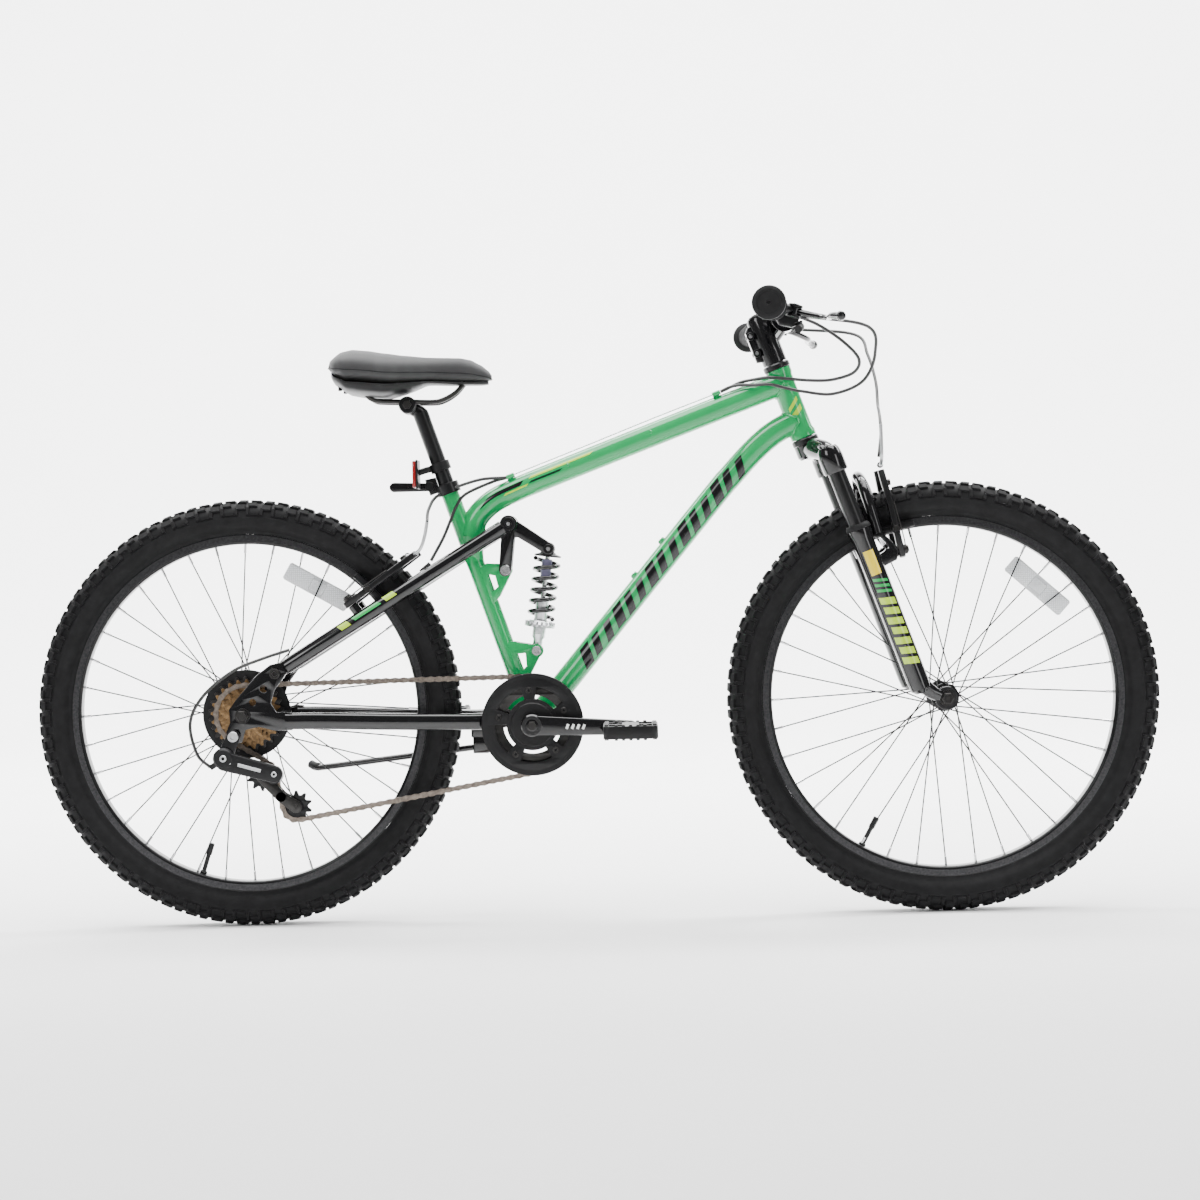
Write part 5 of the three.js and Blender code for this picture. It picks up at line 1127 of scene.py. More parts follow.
def make_stays():
    stay = spline(
        [
            on_stay(18, -61), on_stay(75, -60), on_stay(180, -51), on_stay(250, -45), on_stay(320, -35),
            on_stay(384, -25.5),
        ],
        8
    )
    foot = plate([link_outline(STAY_PIVOT, 9.5, on_stay(26, 0), 9.5)], 61.2, 67.2, 1)
    head = socket_head(STAY_PIVOT - Y_AXIS * 73.9, -Y_AXIS, 7.5, 3.4)
    bolt = cross_rod(STAY_PIVOT, 64, 74.5, 4, 16)
    bridge = rod(on_stay(262, -44), on_stay(262, 44), 7, 24)
    boss = rod(at(-325.2, -40, 438), at(-342.5, -40, 462.5), 7.5, 24, bevel=1)
    lug = turned(
        [(8, 18), (12, 18), (12.5, 18.6), (12.5, 29.4), (12, 30), (8, 30)], ROCKER_TOP, Y_AXIS, 32,
        ring=True
    )
    noodle_stop = rod(at(-229, -39, 519), at(-243, -40, 507), 3.6, 16)
    shapes = [
        both_sides(tube(stay, 10.8, 32)), both_sides(foot), bridge, both_sides(boss), both_sides(lug),
        noodle_stop,
    ]
    piece("stay_tubes", shapes, GLOSS_BLACK, "stays", ["seatstays"])
    piece("stay_bolts", [both_sides(head), both_sides(bolt)], DARK_STEEL, "stays")
    lime = [decal(stay, 10.8, (96, 92), (112, 108), 0, 50), decal(stay, 10.8, (172, 168), (190, 186), 5, 55)]
    green = [decal(stay, 10.8, (120, 116), (164, 160), 10, 44)]
    piece("stay_lime_stripes", lime, LIME, "stays")
    piece("stay_green_stripes", green, GREEN_DECAL, "stays")


def make_rocker():
    lower = link_outline(ROCKER_PIVOT, 9, ROCKER_TOP, 10)
    upper = link_outline(ROCKER_TOP, 10, SHOCK_TOP, 8.5)
    sheets = [
        plate([lower, circle(ROCKER_PIVOT.x, ROCKER_PIVOT.z, 4.4)], 13, 17, 0.7),
        plate([upper], 13.02, 16.98, 0.7),
    ]
    web = plate([[(-124, 552), (-106, 553), (-88, 557), (-100, 568), (-124, 574)]], 13.5, 16.5, 0.6)
    shaft = cross_rod(ROCKER_TOP, -34, 34, 4.5, 20)
    eye_bolt = cross_rod(SHOCK_TOP, -18, 18, 4, 16)
    piece(
        "rocker_plates", [both_sides(s) for s in (*sheets, web)], GLOSS_BLACK, "rocker",
        ["rocker"]
    )
    heads = [
        socket_head(ROCKER_TOP - Y_AXIS * 31.2, -Y_AXIS, 10, 4.6),
        socket_head(SHOCK_TOP - Y_AXIS * 17.1, -Y_AXIS, 7, 3.6),
    ]
    piece(
        "rocker_bolts", [both_sides(h) for h in heads] + [shaft, eye_bolt], SATIN_BLACK, "rocker",
    )
    centres = [rod(p - Y_AXIS * (y + 0.2), p - Y_AXIS * (y - 1), 3.4, 6, bevel=0.2)
               for p, y in ((ROCKER_TOP, 34.2), (SHOCK_TOP, 19.6))]
    piece("rocker_sockets", [both_sides(c) for c in centres], BRIGHT_STEEL, "rocker")
    pivot_head = socket_head(ROCKER_PIVOT - Y_AXIS * 17.3, -Y_AXIS, 7.5, 3.6)
    piece(
        "rocker_pivot_screw", [both_sides(pivot_head), cross_rod(ROCKER_PIVOT, -17, 17, 4, 16)],
        BRIGHT_STEEL, "frame", ["rocker_pivot_bolt"]
    )


SHOCK_LEAN = (SHOCK_TOP - SHOCK_LOW).normalized()


def along_shock(profile, segments=40, ring=False):
    return turned(profile, SHOCK_LOW, SHOCK_LEAN, segments, ring)


def make_shock():
    eye = turned(
        [(4, -8.3), (9.4, -8.3), (10, -7.7), (10, 7.7), (9.4, 8.3), (4, 8.3)], SHOCK_LOW, Y_AXIS, 32,
        ring=True
    )
    bolt_heads = both_sides(socket_head(SHOCK_LOW - Y_AXIS * 12.9, -Y_AXIS, 7, 3.6))
    body = along_shock(
        [(0, 4), (7, 4), (7, 16), (9.5, 20), (9.5, 75.4), (8.9, 76), (4.2, 76), (4.2, 40), (0, 40)]
    )
    thread = [
        along_shock([(9.3, z), (10.1, z + 0.8), (9.3, z + 1.6)], 32, ring=True)
        for z in range(24, 46, 2)
    ]
    low_ring = along_shock(
        [(9.6, 34), (20.6, 34), (21.4, 35), (21.4, 38), (20, 39.5), (17, 43.5), (9.6, 43.5)], 48, ring=True
    )
    teeth = [moved(block((3.4, 3.4, 7.6), at(20.2, 0, 38.2), 0.6),
                   Matrix.Translation(SHOCK_LOW) @ Z_AXIS.rotation_difference(SHOCK_LEAN).to_matrix().to_4x4()
                   @ Matrix.Rotation(math.tau * i / 18, 4, "Z")) for i in range(18)]
    piece(
        "damper_body", [eye, body, *thread, low_ring, *teeth], SILVER, "shock",
        ["shock_body"]
    )
    piece(
        "damper_bolt", [bolt_heads, cross_rod(SHOCK_LOW, -13, 13, 4, 16)], BRIGHT_STEEL, "shock",
    )
    top_eye = turned([(6, -12.3), (8.9, -12.3), (9.5, -11.7), (9.5, 11.7), (8.9, 12.3), (6, 12.3)],
                     SHOCK_TOP, Y_AXIS, 32, ring=True)
    seat = along_shock([(3.6, 136.5), (18.8, 136.5), (19.5, 137.2), (19.5, 138.6), (18.8, 139.3), (12.4, 141),
                        (10, 143.6), (3.6, 143.6)], 48, ring=True)
    piece("damper_top", [top_eye, seat], SATIN_BLACK, "shock_rod", ["shock_shaft"])
    piece(
        "damper_shaft", [along_shock([(0, 52), (3.6, 52), (3.6, 144), (0, 144)])], BRIGHT_STEEL,
        "shock_rod"
    )
    piece(
        "damper_bumper",
        [
            along_shock(
                [
                    (3.7, 106), (6.4, 106), (7.5, 108), (7.5, 119), (6.4, 120.5), (7.5, 122), (7.5, 132),
                    (6.8, 133), (3.7, 133),
                ],
                32, ring=True
            ),
        ],
        BUMPER, "shock_rod"
    )


def make_spring():
    turn = Z_AXIS.rotation_difference(SHOCK_LEAN)
    turns, radius, steps = 5.5, 17.2, 36
    line = []
    for i in range(int(turns * steps) + 1):
        angle = math.tau * i / steps
        share = i / (turns * steps)
        line.append(
            SHOCK_LOW + turn @ at(radius * math.cos(angle), radius * math.sin(angle), 47 + 86 * share)
        )
    spring = piece(
        "coil_spring", [tube(line, 3.2, 18)], GLOSS_BLACK, "shock", ["shock_spring"]
    )
    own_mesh(spring)


make_swingarm()
make_stays()
make_rocker()
make_shock()
make_spring()

# ---------------------------------------------------------------------------
# Drive train
# ---------------------------------------------------------------------------


def pitch_radius(teeth):
    return teeth * CHAIN_PITCH / math.tau


def tooth_outline(teeth, turn=0.0):
    """The edge of a sprocket: round-bottomed gaps between blunt teeth."""
    pitch = pitch_radius(teeth)
    outline = []
    tooth = [(-0.5, -3.7), (-0.36, -3.2), (-0.24, -1.0), (-0.1, 2.4), (0.1, 2.4), (0.24, -1.0), (0.36, -3.2)]
    for i in range(teeth):
        for share, height in tooth:
            angle = math.tau * (i + 0.5 + share + turn) / teeth
            outline.append(((pitch + height) * math.cos(angle), (pitch + height) * math.sin(angle)))
    return outline


def sector_outline(inner, outer, start, end, steps=14):
    angles = [start + (end - start) * i / steps for i in range(steps + 1)]
    return [(outer * math.cos(a), outer * math.sin(a)) for a in angles] + \
           [(inner * math.cos(a), inner * math.sin(a)) for a in reversed(angles)]


def placed(shapes, place):
    return [moved(s, Matrix.Translation(place)) for s in shapes]


def make_chainring():
    windows = [sector_outline(37, 54, (i + 0.82) * math.tau / 5 - 0.42, (i + 0.82) * math.tau / 5 + 0.42)
               for i in range(5)]
    guard = plate([circle(0, 0, 73, 96), circle(0, 0, 31, 48), *windows], -53.6, -51, 0.6)
    rim = turned(
        [(66, -53.8), (72.4, -53.8), (73.3, -52.8), (73.3, -50), (72.6, -49.6), (70.6, -49.6), (69, -51)],
        ORIGIN, Y_AXIS, 96, ring=True
    )
    inner_rim = turned([(31, -54.2), (36.4, -54.2), (36.4, -51), (31, -51)], ORIGIN, Y_AXIS, 64, ring=True)
    spider = turned(
        [(16.5, -50.6), (16.5, -56), (30, -56), (31.5, -54.6), (31.5, -50.6)], ORIGIN, Y_AXIS, 64, ring=True
    )
    spots = [
        at(49 * math.cos((i + 0.32) * math.tau / 5), 0, 49 * math.sin((i + 0.32) * math.tau / 5))
        for i in range(5)
    ]
    posts = [cross_rod(p, -53, -44, 6, 20) for p in spots]
    piece(
        "chain_guard", placed([guard, rim, inner_rim, spider, *posts], BOTTOM_BRACKET), BLACK_PLASTIC,
        "cranks", ["chainring"]
    )
    heads = [socket_head(p - Y_AXIS * 53.6, -Y_AXIS, 4.6, 1.4) for p in spots]
    piece("guard_screws", placed(heads, BOTTOM_BRACKET), DARK_STEEL, "cranks")
    ring = plate(
        [tooth_outline(CHAINRING_TEETH), circle(0, 0, 42, 64)], CHAINLINE - 1.1, CHAINLINE + 1.1, 0.25
    )
    piece("ring_teeth", placed([ring], BOTTOM_BRACKET), DARK_STEEL, "cranks")


def pedal_place(side):
    return BOTTOM_BRACKET + at(
        -side * CRANK_LENGTH * math.cos(CRANK_ANGLE), 0, side * CRANK_LENGTH * math.sin(CRANK_ANGLE)
    )


def make_crank(side, name):
    end = pedal_place(side)
    low, high = (-76, -64) if side < 0 else (64, 76)
    arm = plate([link_outline(BOTTOM_BRACKET, 14.5, end, 10.2)], low, high, 3, 3)
    boss = turned([(0, 44), (15, 44), (16, 45), (16, 75), (14, 77), (9, 77), (8.4, 75.4), (0, 75.4)],
                  BOTTOM_BRACKET, Y_AXIS * side, 40)
    eye = turned(
        [(0, 62.5), (9.6, 62.5), (10.4, 63.3), (10.4, 76.2), (9.6, 77), (0, 77)], end, Y_AXIS * side, 32
    )
    axle = turned([(0, 76), (6.5, 76), (6.5, 80), (4, 81), (4, 162), (0, 162)], end, Y_AXIS * side, 24)
    shapes = [arm, boss, eye]
    if side > 0:
        shapes.append(turned([(0, -58), (7.6, -58), (7.6, 46), (0, 46)], BOTTOM_BRACKET, Y_AXIS, 28))
    piece(f"{name}_arm", shapes, GLOSS_BLACK, "cranks", [f"crank_{name}"])
    bolt = hexagon(BOTTOM_BRACKET + Y_AXIS * side * 75.2, Y_AXIS * side, 6.6, 2.6)
    piece(f"{name}_arm_bolt", [bolt, axle], DARK_STEEL, "cranks")


def make_crank_mark():
    end = pedal_place(-1)
    bars = []
    for i in range(4):
        middle = BOTTOM_BRACKET.lerp(end, 0.36 + 0.055 * i) - Y_AXIS * 76
        tilt = Matrix.Translation(middle) @ Matrix.Rotation(CRANK_ANGLE + 0.35, 4, "Y")
        bars.append(moved(block((3.6, 0.5, 7), ORIGIN, 0.1, 1), tilt))
    piece("crank_mark", bars, WHITE_DECAL, "cranks")


def make_pedal(side, name):
    y0, y1 = (-170, -82) if side < 0 else (82, 170)
    middle = (y0 + y1) / 2
    corner = 9
    edge = []
    corners = [(29, y1 - corner, 0), (-29, y1 - corner, 90), (-29, y0 + corner, 180), (29, y0 + corner, 270)]
    for cx, cy, start in corners:
        for step in range(5):
            angle = math.radians(start + 90 * step / 4)
            edge.append((cx + corner * math.cos(angle), cy + corner * math.sin(angle)))
    windows = [[(xa, ya), (xb, ya), (xb, yb), (xa, yb)] for xa, xb in ((-30, -12), (12, 30))
               for ya, yb in ((y0 + 8, middle - 4), (middle + 4, y1 - 8))]
    body = plate([edge, *windows], -9, 9, 1.2)
    lay = Matrix(((1, 0, 0, 0), (0, 0, 1, 0), (0, 1, 0, 0), (0, 0, 0, 1)))
    shapes = [moved(body, lay), cross_rod(ORIGIN, y0 + 2, y1 - 2, 9.5, 28, bevel=1.5)]
    for x in (-33.5, 33.5):
        for i in range(9):
            for z in (-9.6, 9.6):
                shapes.append(block((6, 4.6, 2.6), at(x, y0 + 12 + i * 8, z), 0.7, 1))
    for i in range(5):
        for y in (y0 + 4, y1 - 4):
            for z in (-9.6, 9.6):
                shapes.append(block((4.6, 5, 2.6), at(-20 + i * 10, y, z), 0.7, 1))
    place = pedal_place(side)
    piece(
        f"{name}_pedal_cage", placed(shapes, place), BLACK_PLASTIC, f"{name}_pedal",
        [f"pedal_{name}"]
    )
    lenses = [block((1.6, 44, 11), at(x, middle, 0), 0.6, 1) for x in (-37.2, 37.2)]
    amber = piece(f"{name}_pedal_lenses", placed(lenses, place), RED_PRISM, f"{name}_pedal")
    return amber


def make_freewheel():
    cogs = []
    for i, teeth in enumerate(FREEWHEEL_TEETH):
        plane = CHAINLINE + SPROCKET_PITCH * (FREEWHEEL_TEETH.index(WHEEL_SPROCKET_TEETH) - i)
        holes = [circle(0, 0, 15, 40)]
        if teeth > 20:
            reach = pitch_radius(teeth) - 12
            holes += [
                circle(reach * math.cos(math.tau * k / 8), reach * math.sin(math.tau * k / 8), 3.6, 14)
                for k in range(8)
            ]
        cogs.append(plate([tooth_outline(teeth, 0.3 * i), *holes], plane - 0.9, plane + 0.9, 0.3))
    core = turned(
        [(13.2, -64.6), (20.4, -64.6), (21, -64), (21, -31.4), (13.2, -31.4)], ORIGIN, Y_AXIS, 48, ring=True
    )
    lock = turned([(13.2, -65), (18.6, -65), (18.6, -64), (13.2, -64)], ORIGIN, Y_AXIS, 12, ring=True)
    piece("large_cog", placed(cogs[:1], REAR_AXLE), DARK_STEEL, "freewheel", ["freewheel"])
    piece("small_cogs", placed([*cogs[1:], core, lock], REAR_AXLE), BRONZE, "freewheel")


def touching_points(a, radius_a, turn_a, b, radius_b, turn_b):
    """Where the straight run of chain between two wheels meets each of them."""
    across = b - a
    heading = math.atan2(across.z, across.x)
    lean = math.asin((turn_a * radius_a - turn_b * radius_b) / across.length)
    outward = heading + lean - math.pi / 2
    direction = at(math.cos(outward), 0, math.sin(outward))
    return a + direction * turn_a * radius_a, b + direction * turn_b * radius_b


def arc(centre, radius, start_point, end_point, clockwise, steps):
    start = math.atan2(start_point.z - centre.z, start_point.x - centre.x)
    end = math.atan2(end_point.z - centre.z, end_point.x - centre.x)
    while clockwise and end > start:
        end -= math.tau
    while not clockwise and end < start:
        end += math.tau
    angles = [start + (end - start) * i / steps for i in range(steps + 1)]
    return [at(centre.x + radius * math.cos(a), 0, centre.z + radius * math.sin(a)) for a in angles]


def chain_places():
    """The chain's pins: evenly spaced round its loop."""
    big, small, jockey = (pitch_radius(t) for t in (CHAINRING_TEETH, WHEEL_SPROCKET_TEETH, PULLEY_TEETH))
    top = touching_points(BOTTOM_BRACKET, big, 1, REAR_AXLE, small, 1)
    down = touching_points(REAR_AXLE, small, 1, GUIDE_PULLEY, jockey, -1)
    between = touching_points(GUIDE_PULLEY, jockey, -1, TENSION_PULLEY, jockey, 1)
    under = touching_points(TENSION_PULLEY, jockey, 1, BOTTOM_BRACKET, big, 1)
    loop = [
        *arc(REAR_AXLE, small, top[1], down[0], False, 40),
        *arc(GUIDE_PULLEY, jockey, down[1], between[0], True, 20),
        *arc(TENSION_PULLEY, jockey, between[1], under[0], False, 24),
        *arc(BOTTOM_BRACKET, big, under[1], top[0], False, 60),
    ]
    loop.append(loop[0])
    lengths = [0.0]
    for a, b in zip(loop, loop[1:]):
        lengths.append(lengths[-1] + (b - a).length)
    count = 2 * round(lengths[-1] / CHAIN_PITCH / 2)
    places, k = [], 0
    for i in range(count):
        distance = lengths[-1] * i / count
        while lengths[k + 1] < distance:
            k += 1
        places.append(loop[k].lerp(loop[k + 1], (distance - lengths[k]) / (lengths[k + 1] - lengths[k])))
    return places


def link_plate(a, b, y0, y1):
    """A chain link's side plate, waisted between its two pins."""
    ahead = (b - a).normalized()
    across = at(-ahead.z, 0, ahead.x)
    outline = []
    for centre, start in ((b, -90), (a, 90)):
        for step in range(7):
            angle = math.radians(start + 180 * step / 6)
            p = centre + ahead * 4.1 * math.cos(angle) + across * 4.1 * math.sin(angle)
            outline.append(p)
        waist = (a + b) / 2 + across * (2.9 if start < 0 else -2.9)
        outline.append(waist)
    points = [at(p.x, y, p.z) for y in (y0, y1) for p in outline]
    n = len(outline)
    faces = [tuple(range(n - 1, -1, -1)), tuple(range(n, 2 * n))]
    faces += [(k, (k + 1) % n, (k + 1) % n + n, k + n) for k in range(n)]
    return points, faces


def make_chain():
    places = chain_places()
    plates, rollers = [], []
    for i, place in enumerate(places):
        after = places[(i + 1) % len(places)]
        inner = 1.9 if i % 2 else 2.8
        for side in (-1, 1):
            y = sorted((CHAINLINE + side * inner, CHAINLINE + side * (inner + 0.8)))
            plates.append(link_plate(place, after, *y))
        rollers.append(
            cross_rod(at(place.x, 0, place.z), CHAINLINE - 3.9, CHAINLINE + 3.9, 1.8, 8, bevel=0.3)
        )
        rollers.append(
            cross_rod(at(place.x, 0, place.z), CHAINLINE - 1.9, CHAINLINE + 1.9, 3.8, 10, bevel=0.3)
        )
    piece("chain_links", plates, CHAIN_STEEL, "swingarm", ["chain"])
    piece("chain_rollers", rollers, CHAIN_STEEL, "swingarm")


def make_derailleur():
    cage_line = [
        link_outline(GUIDE_PULLEY, 9, at(-452, 0, 190), 7.5),
        link_outline(at(-452, 0, 190), 7.5, TENSION_PULLEY, 9),
    ]
    plates = [plate([line], y, y + 1.9, 0.4) for line in cage_line for y in (-53.5, -38.4)]
    bolts = [cross_rod(p, -54.6, -37, 3.4, 16) for p in (GUIDE_PULLEY, TENSION_PULLEY)]
    piece("pulley_cage", plates + bolts, DARK_STEEL, "swingarm", ["rear_derailleur"])
    knuckle = cross_rod(at(-528, 0, 250), -91, -72, 15, 36, bevel=3)
    hanger = plate([link_outline(at(-514, 0, 280), 9.5, at(-528, 0, 250), 11)], -82, -74, 1.4, 2)
    outer_link = plate([link_outline(at(-526, 0, 246), 14, at(-456, 0, 226), 12)], -90, -78, 3, 3)
    inner_link = plate([link_outline(at(-524, 0, 243), 9, at(-458, 0, 224), 9)], -76, -66, 2, 2)
    cage_pivot = cross_rod(at(-458, 0, 222), -80, -52, 11, 32, bevel=1.6)
    cage_arm = plate([link_outline(at(-458, 0, 222), 10, GUIDE_PULLEY, 7.5)], -55.2, -51.6, 0.8)
    adjuster = rod(at(-541, -75, 241), at(-549, -75, 236), 4, 16)
    piece(
        "derailleur_body", [knuckle, hanger, outer_link, inner_link, cage_pivot, cage_arm, adjuster],
        BLACK_PLASTIC, "swingarm"
    )
    heads = [
        socket_head(at(-514, -82.4, 280), -Y_AXIS, 7.6, 3), socket_head(at(-528, -91, 250), -Y_AXIS, 5, 1),
        socket_head(at(-456, -90, 226), -Y_AXIS, 4, 1), socket_head(at(-520, -90, 244), -Y_AXIS, 3, 0.8),
    ]
    bar = moved(block((34, 0.6, 4.5), ORIGIN, 0.2, 1), Matrix.Translation(at(-491, -90.1, 236))
                @ Matrix.Rotation(math.radians(16), 4, "Y"))
    piece("derailleur_screws", heads + [bar], SILVER, "swingarm")
    for name, place in (("guide", GUIDE_PULLEY), ("tension", TENSION_PULLEY)):
        wheel_shape = plate(
            [tooth_outline(PULLEY_TEETH), circle(0, 0, 4.2, 20)], CHAINLINE - 1.5, CHAINLINE + 1.5, 0.4
        )
        cap = turned(
            [(4.2, -4.6), (8, -4.6), (8.6, -4), (8.6, 4), (8, 4.6), (4.2, 4.6)], at(0, CHAINLINE, 0),
            Y_AXIS, 28, ring=True
        )
        piece(
            f"{name}_wheel", placed([wheel_shape, cap], place), BLACK_PLASTIC, f"{name}_pulley",
            [f"{name}_pulley"]
        )


make_chainring()
make_crank(-1, "right")
make_crank(1, "left")
make_crank_mark()
make_pedal(-1, "right")
make_pedal(1, "left")
make_freewheel()
make_chain()
make_derailleur()

# ---------------------------------------------------------------------------
# Cockpit, in the steering frame
# ---------------------------------------------------------------------------

BAR_CENTRE = at(34, 0, 169)
LEVER_PITCH = math.radians(36)
SHIFTER_Y = 108


def on_bar(side, y):
    share = (y - 80) / (BAR_HALF - 80)
    return at(22 - 24 * share, side * y, 183 - 3 * share)


def bar_axis(side):
    return (on_bar(side, 200) - on_bar(side, 100)).normalized()


def around_bar(side, profile, segments=36, ring=True):
    """A turned piece on the bar; the profile's second numbers are distances from the
    bike's middle."""
    shifted = [(r, y - 100) for r, y in profile]
    return turned(shifted, on_bar(side, 100), bar_axis(side), segments, ring)


def pitched(shape, side):
    centre = on_bar(side, 150)
    turn = Matrix.Translation(centre) @ Matrix.Rotation(LEVER_PITCH, 4, "Y") @ Matrix.Translation(-centre)
    return moved(shape, turn)


def make_stem():
    clamp = turned(
        [
            (13, 114.3), (17, 114.3), (17.6, 115), (17.6, 180), (16, 185), (10, 186), (0, 186), (0, 183),
            (13, 183),
        ],
        ORIGIN, Z_AXIS, 40
    )
    ears = plate([[(-25, 124), (-8, 120), (-8, 178), (-20, 176), (-25, 170)]], -9, 9, 2, 2)
    arms = [
        tube([at(4, 0, 166), at(30, 0, 178)], 8.4, 28, across=1.3),
        tube([at(4, 0, 143), at(30, 0, 160)], 8, 28, across=1.3),
    ]
    bar_clamp = turned(
        [(12.9, -21), (18.2, -21), (19, -20.2), (19, 20.2), (18.2, 21), (12.9, 21)], BAR_CENTRE, Y_AXIS, 44,
        ring=True
    )
    put_steering("stem_forging", [clamp, ears, *arms, bar_clamp], GLOSS_BLACK, ["stem"])
    bolts = [both_sides(socket_head(at(-20, -9, z), -Y_AXIS, 5.8, 5.6)) for z in (136.9, 162.8)]
    cap = turned([(0, 186), (12, 186), (13, 187), (12, 188.6), (0, 188.6)], ORIGIN, Z_AXIS, 36)
    put_steering("stem_bolts", bolts + [cap], SATIN_BLACK)
    put_steering(
        "stem_bolt_sockets",
        [both_sides(rod(at(-20, -14.9, z), at(-20, -13.5, z), 2.8, 6, bevel=0.2)) for z in (136.9, 162.8)],
        BRIGHT_STEEL
    )
    mark = moved(
        block((14, 0.6, 4), ORIGIN, 0.2, 1),
        Matrix.Translation(at(17, -10.4, 151.3)) @ Matrix.Rotation(-0.55, 4, "Y")
    )
    put_steering("stem_mark", [mark], WHITE_DECAL)


def make_bar():
    right = [
        at(BAR_CENTRE.x, -12, BAR_CENTRE.z), at(34, -34, 169.5), at(28, -60, 180), on_bar(-1, 84),
        on_bar(-1, 110), on_bar(-1, 200), on_bar(-1, BAR_HALF),
    ]
    half = tube(spline(right, 10), 11.1, 28)
    centre = turned(
        [(0, -26), (11.4, -26), (12.7, -22), (12.7, 22), (11.4, 26), (0, 26)], BAR_CENTRE, Y_AXIS, 32
    )
    put_steering("bar_tube", [both_sides(half), centre], GLOSS_BLACK, ["handlebar"])


def grip_shape(side):
    profile = [(11.4, 168), (18.6, 168), (20, 169), (20, 172.6), (18.8, 174), (15.6, 175)]
    for i in range(14):
        y = 178 + i * 7.4
        profile += [(14.9, y), (15.7, y + 1.2), (15.7, y + 5.4), (14.9, y + 6.4)]
    profile += [
        (15.4, 283), (21, 284.6), (22.6, 286.4), (23, 289), (22.4, 292), (19.6, 294), (16, 294.2),
        (15.4, 293.4), (3, 293.4), (2.4, 292), (0, 292), (0, 291.4), (11.4, 291),
    ]
    return around_bar(side, profile, 48)


def lever_shapes(side):
    centre = on_bar(side, 150)
    pivot = centre + at(30, -side * 8, 2)

    def near(x, y, z):
        return pivot + at(x, side * y, z)
    blade = tube(
        spline(
            [
                near(2, 0, 0), near(12, 6, -0.5), near(26, 17, -1), near(44, 42, -2), near(46, 80, -2),
                near(56, 104, -2),
            ],
            8
        ),
        lambda share: 5.4 - 1.2 * math.sin(math.pi * share), 24, across=0.9
    )
    tip = turned([(0, -7), (4.5, -5.4), (6.6, -2), (6.9, 1), (5.6, 4.6), (3, 6.4), (0, 7)], near(57, 107, -2),
                 (near(58, 112, -2) - near(56, 103, -2)).normalized(), 24)
    knuckle = turned([(0, -5), (6.4, -5), (7, -4.4), (7, 4.4), (6.4, 5), (0, 5)], pivot, Z_AXIS, 28)
    return [pitched(s, side) for s in (blade, tip, knuckle)]


def perch_shapes(side):
    centre = on_bar(side, 150)
    pivot = centre + at(30, -side * 8, 2)

    def near(x, y, z):
        return pivot + at(x, side * y, z)
    clamp = around_bar(
        side, [(11.4, 142), (14.8, 142), (15.6, 142.8), (15.6, 159.2), (14.8, 160), (11.4, 160)]
    )
    arm = tube(
        spline([centre + at(9, side * 1, 0), centre + at(16, -side * 1, 0.6), near(-8, 1, 0)], 6), 7.6, 24
    )
    cheeks = [
        turned(
            [(0, z), (9.4, z), (10, z + 0.6), (10, z + 3), (9.4, z + 3.6), (0, z + 3.6)], pivot, Z_AXIS, 28
        )
        for z in (-9, 5.4)
    ]
    body = moved(block((17, 13, 15), ORIGIN, 3, 3), Matrix.Translation(near(-3, -14, 0)))
    barrel = rod(near(-2, -15, 0), near(12, -28, 0), 5, 28, bevel=1)
    adjuster = [
        rod(
            near(11, -27, 0).lerp(near(19, -36, 0), i / 6),
            near(11, -27, 0).lerp(near(19, -36, 0), (i + 0.8) / 6), 5.2, 12, bevel=0.5
        )
        for i in range(5)
    ]
    ferrule = rod(near(16, -34, 0), near(19, -39, 0), 3.8, 20)
    return [clamp, *(pitched(s, side) for s in (arm, *cheeks, body, barrel, *adjuster, ferrule))]


def make_controls():
    for side, name in ((-1, "right"), (1, "left")):
        put_steering(f"{name}_grip_sleeve", [grip_shape(side)], GRIP, [f"grip_{name}"])
        put_steering(
            f"{name}_lever_body", perch_shapes(side), SATIN_BLACK, [f"brake_perch_{name}"]
        )
        put_steering(
            f"{name}_lever_blade", lever_shapes(side), GLOSS_BLACK, [f"brake_lever_{name}"],
            f"{name}_brake_lever"
        )
        pivot = on_bar(side, 150) + at(30, -side * 8, 2)
        screw = pitched(socket_head(pivot + Z_AXIS * 9, Z_AXIS, 4, 1.6), side)
        clamp_screw = pitched(socket_head(on_bar(side, 151) + at(6, 0, -15.6), -Z_AXIS, 3, 2), side)
        put_steering(f"{name}_lever_screws", [screw, clamp_screw], BRIGHT_STEEL)


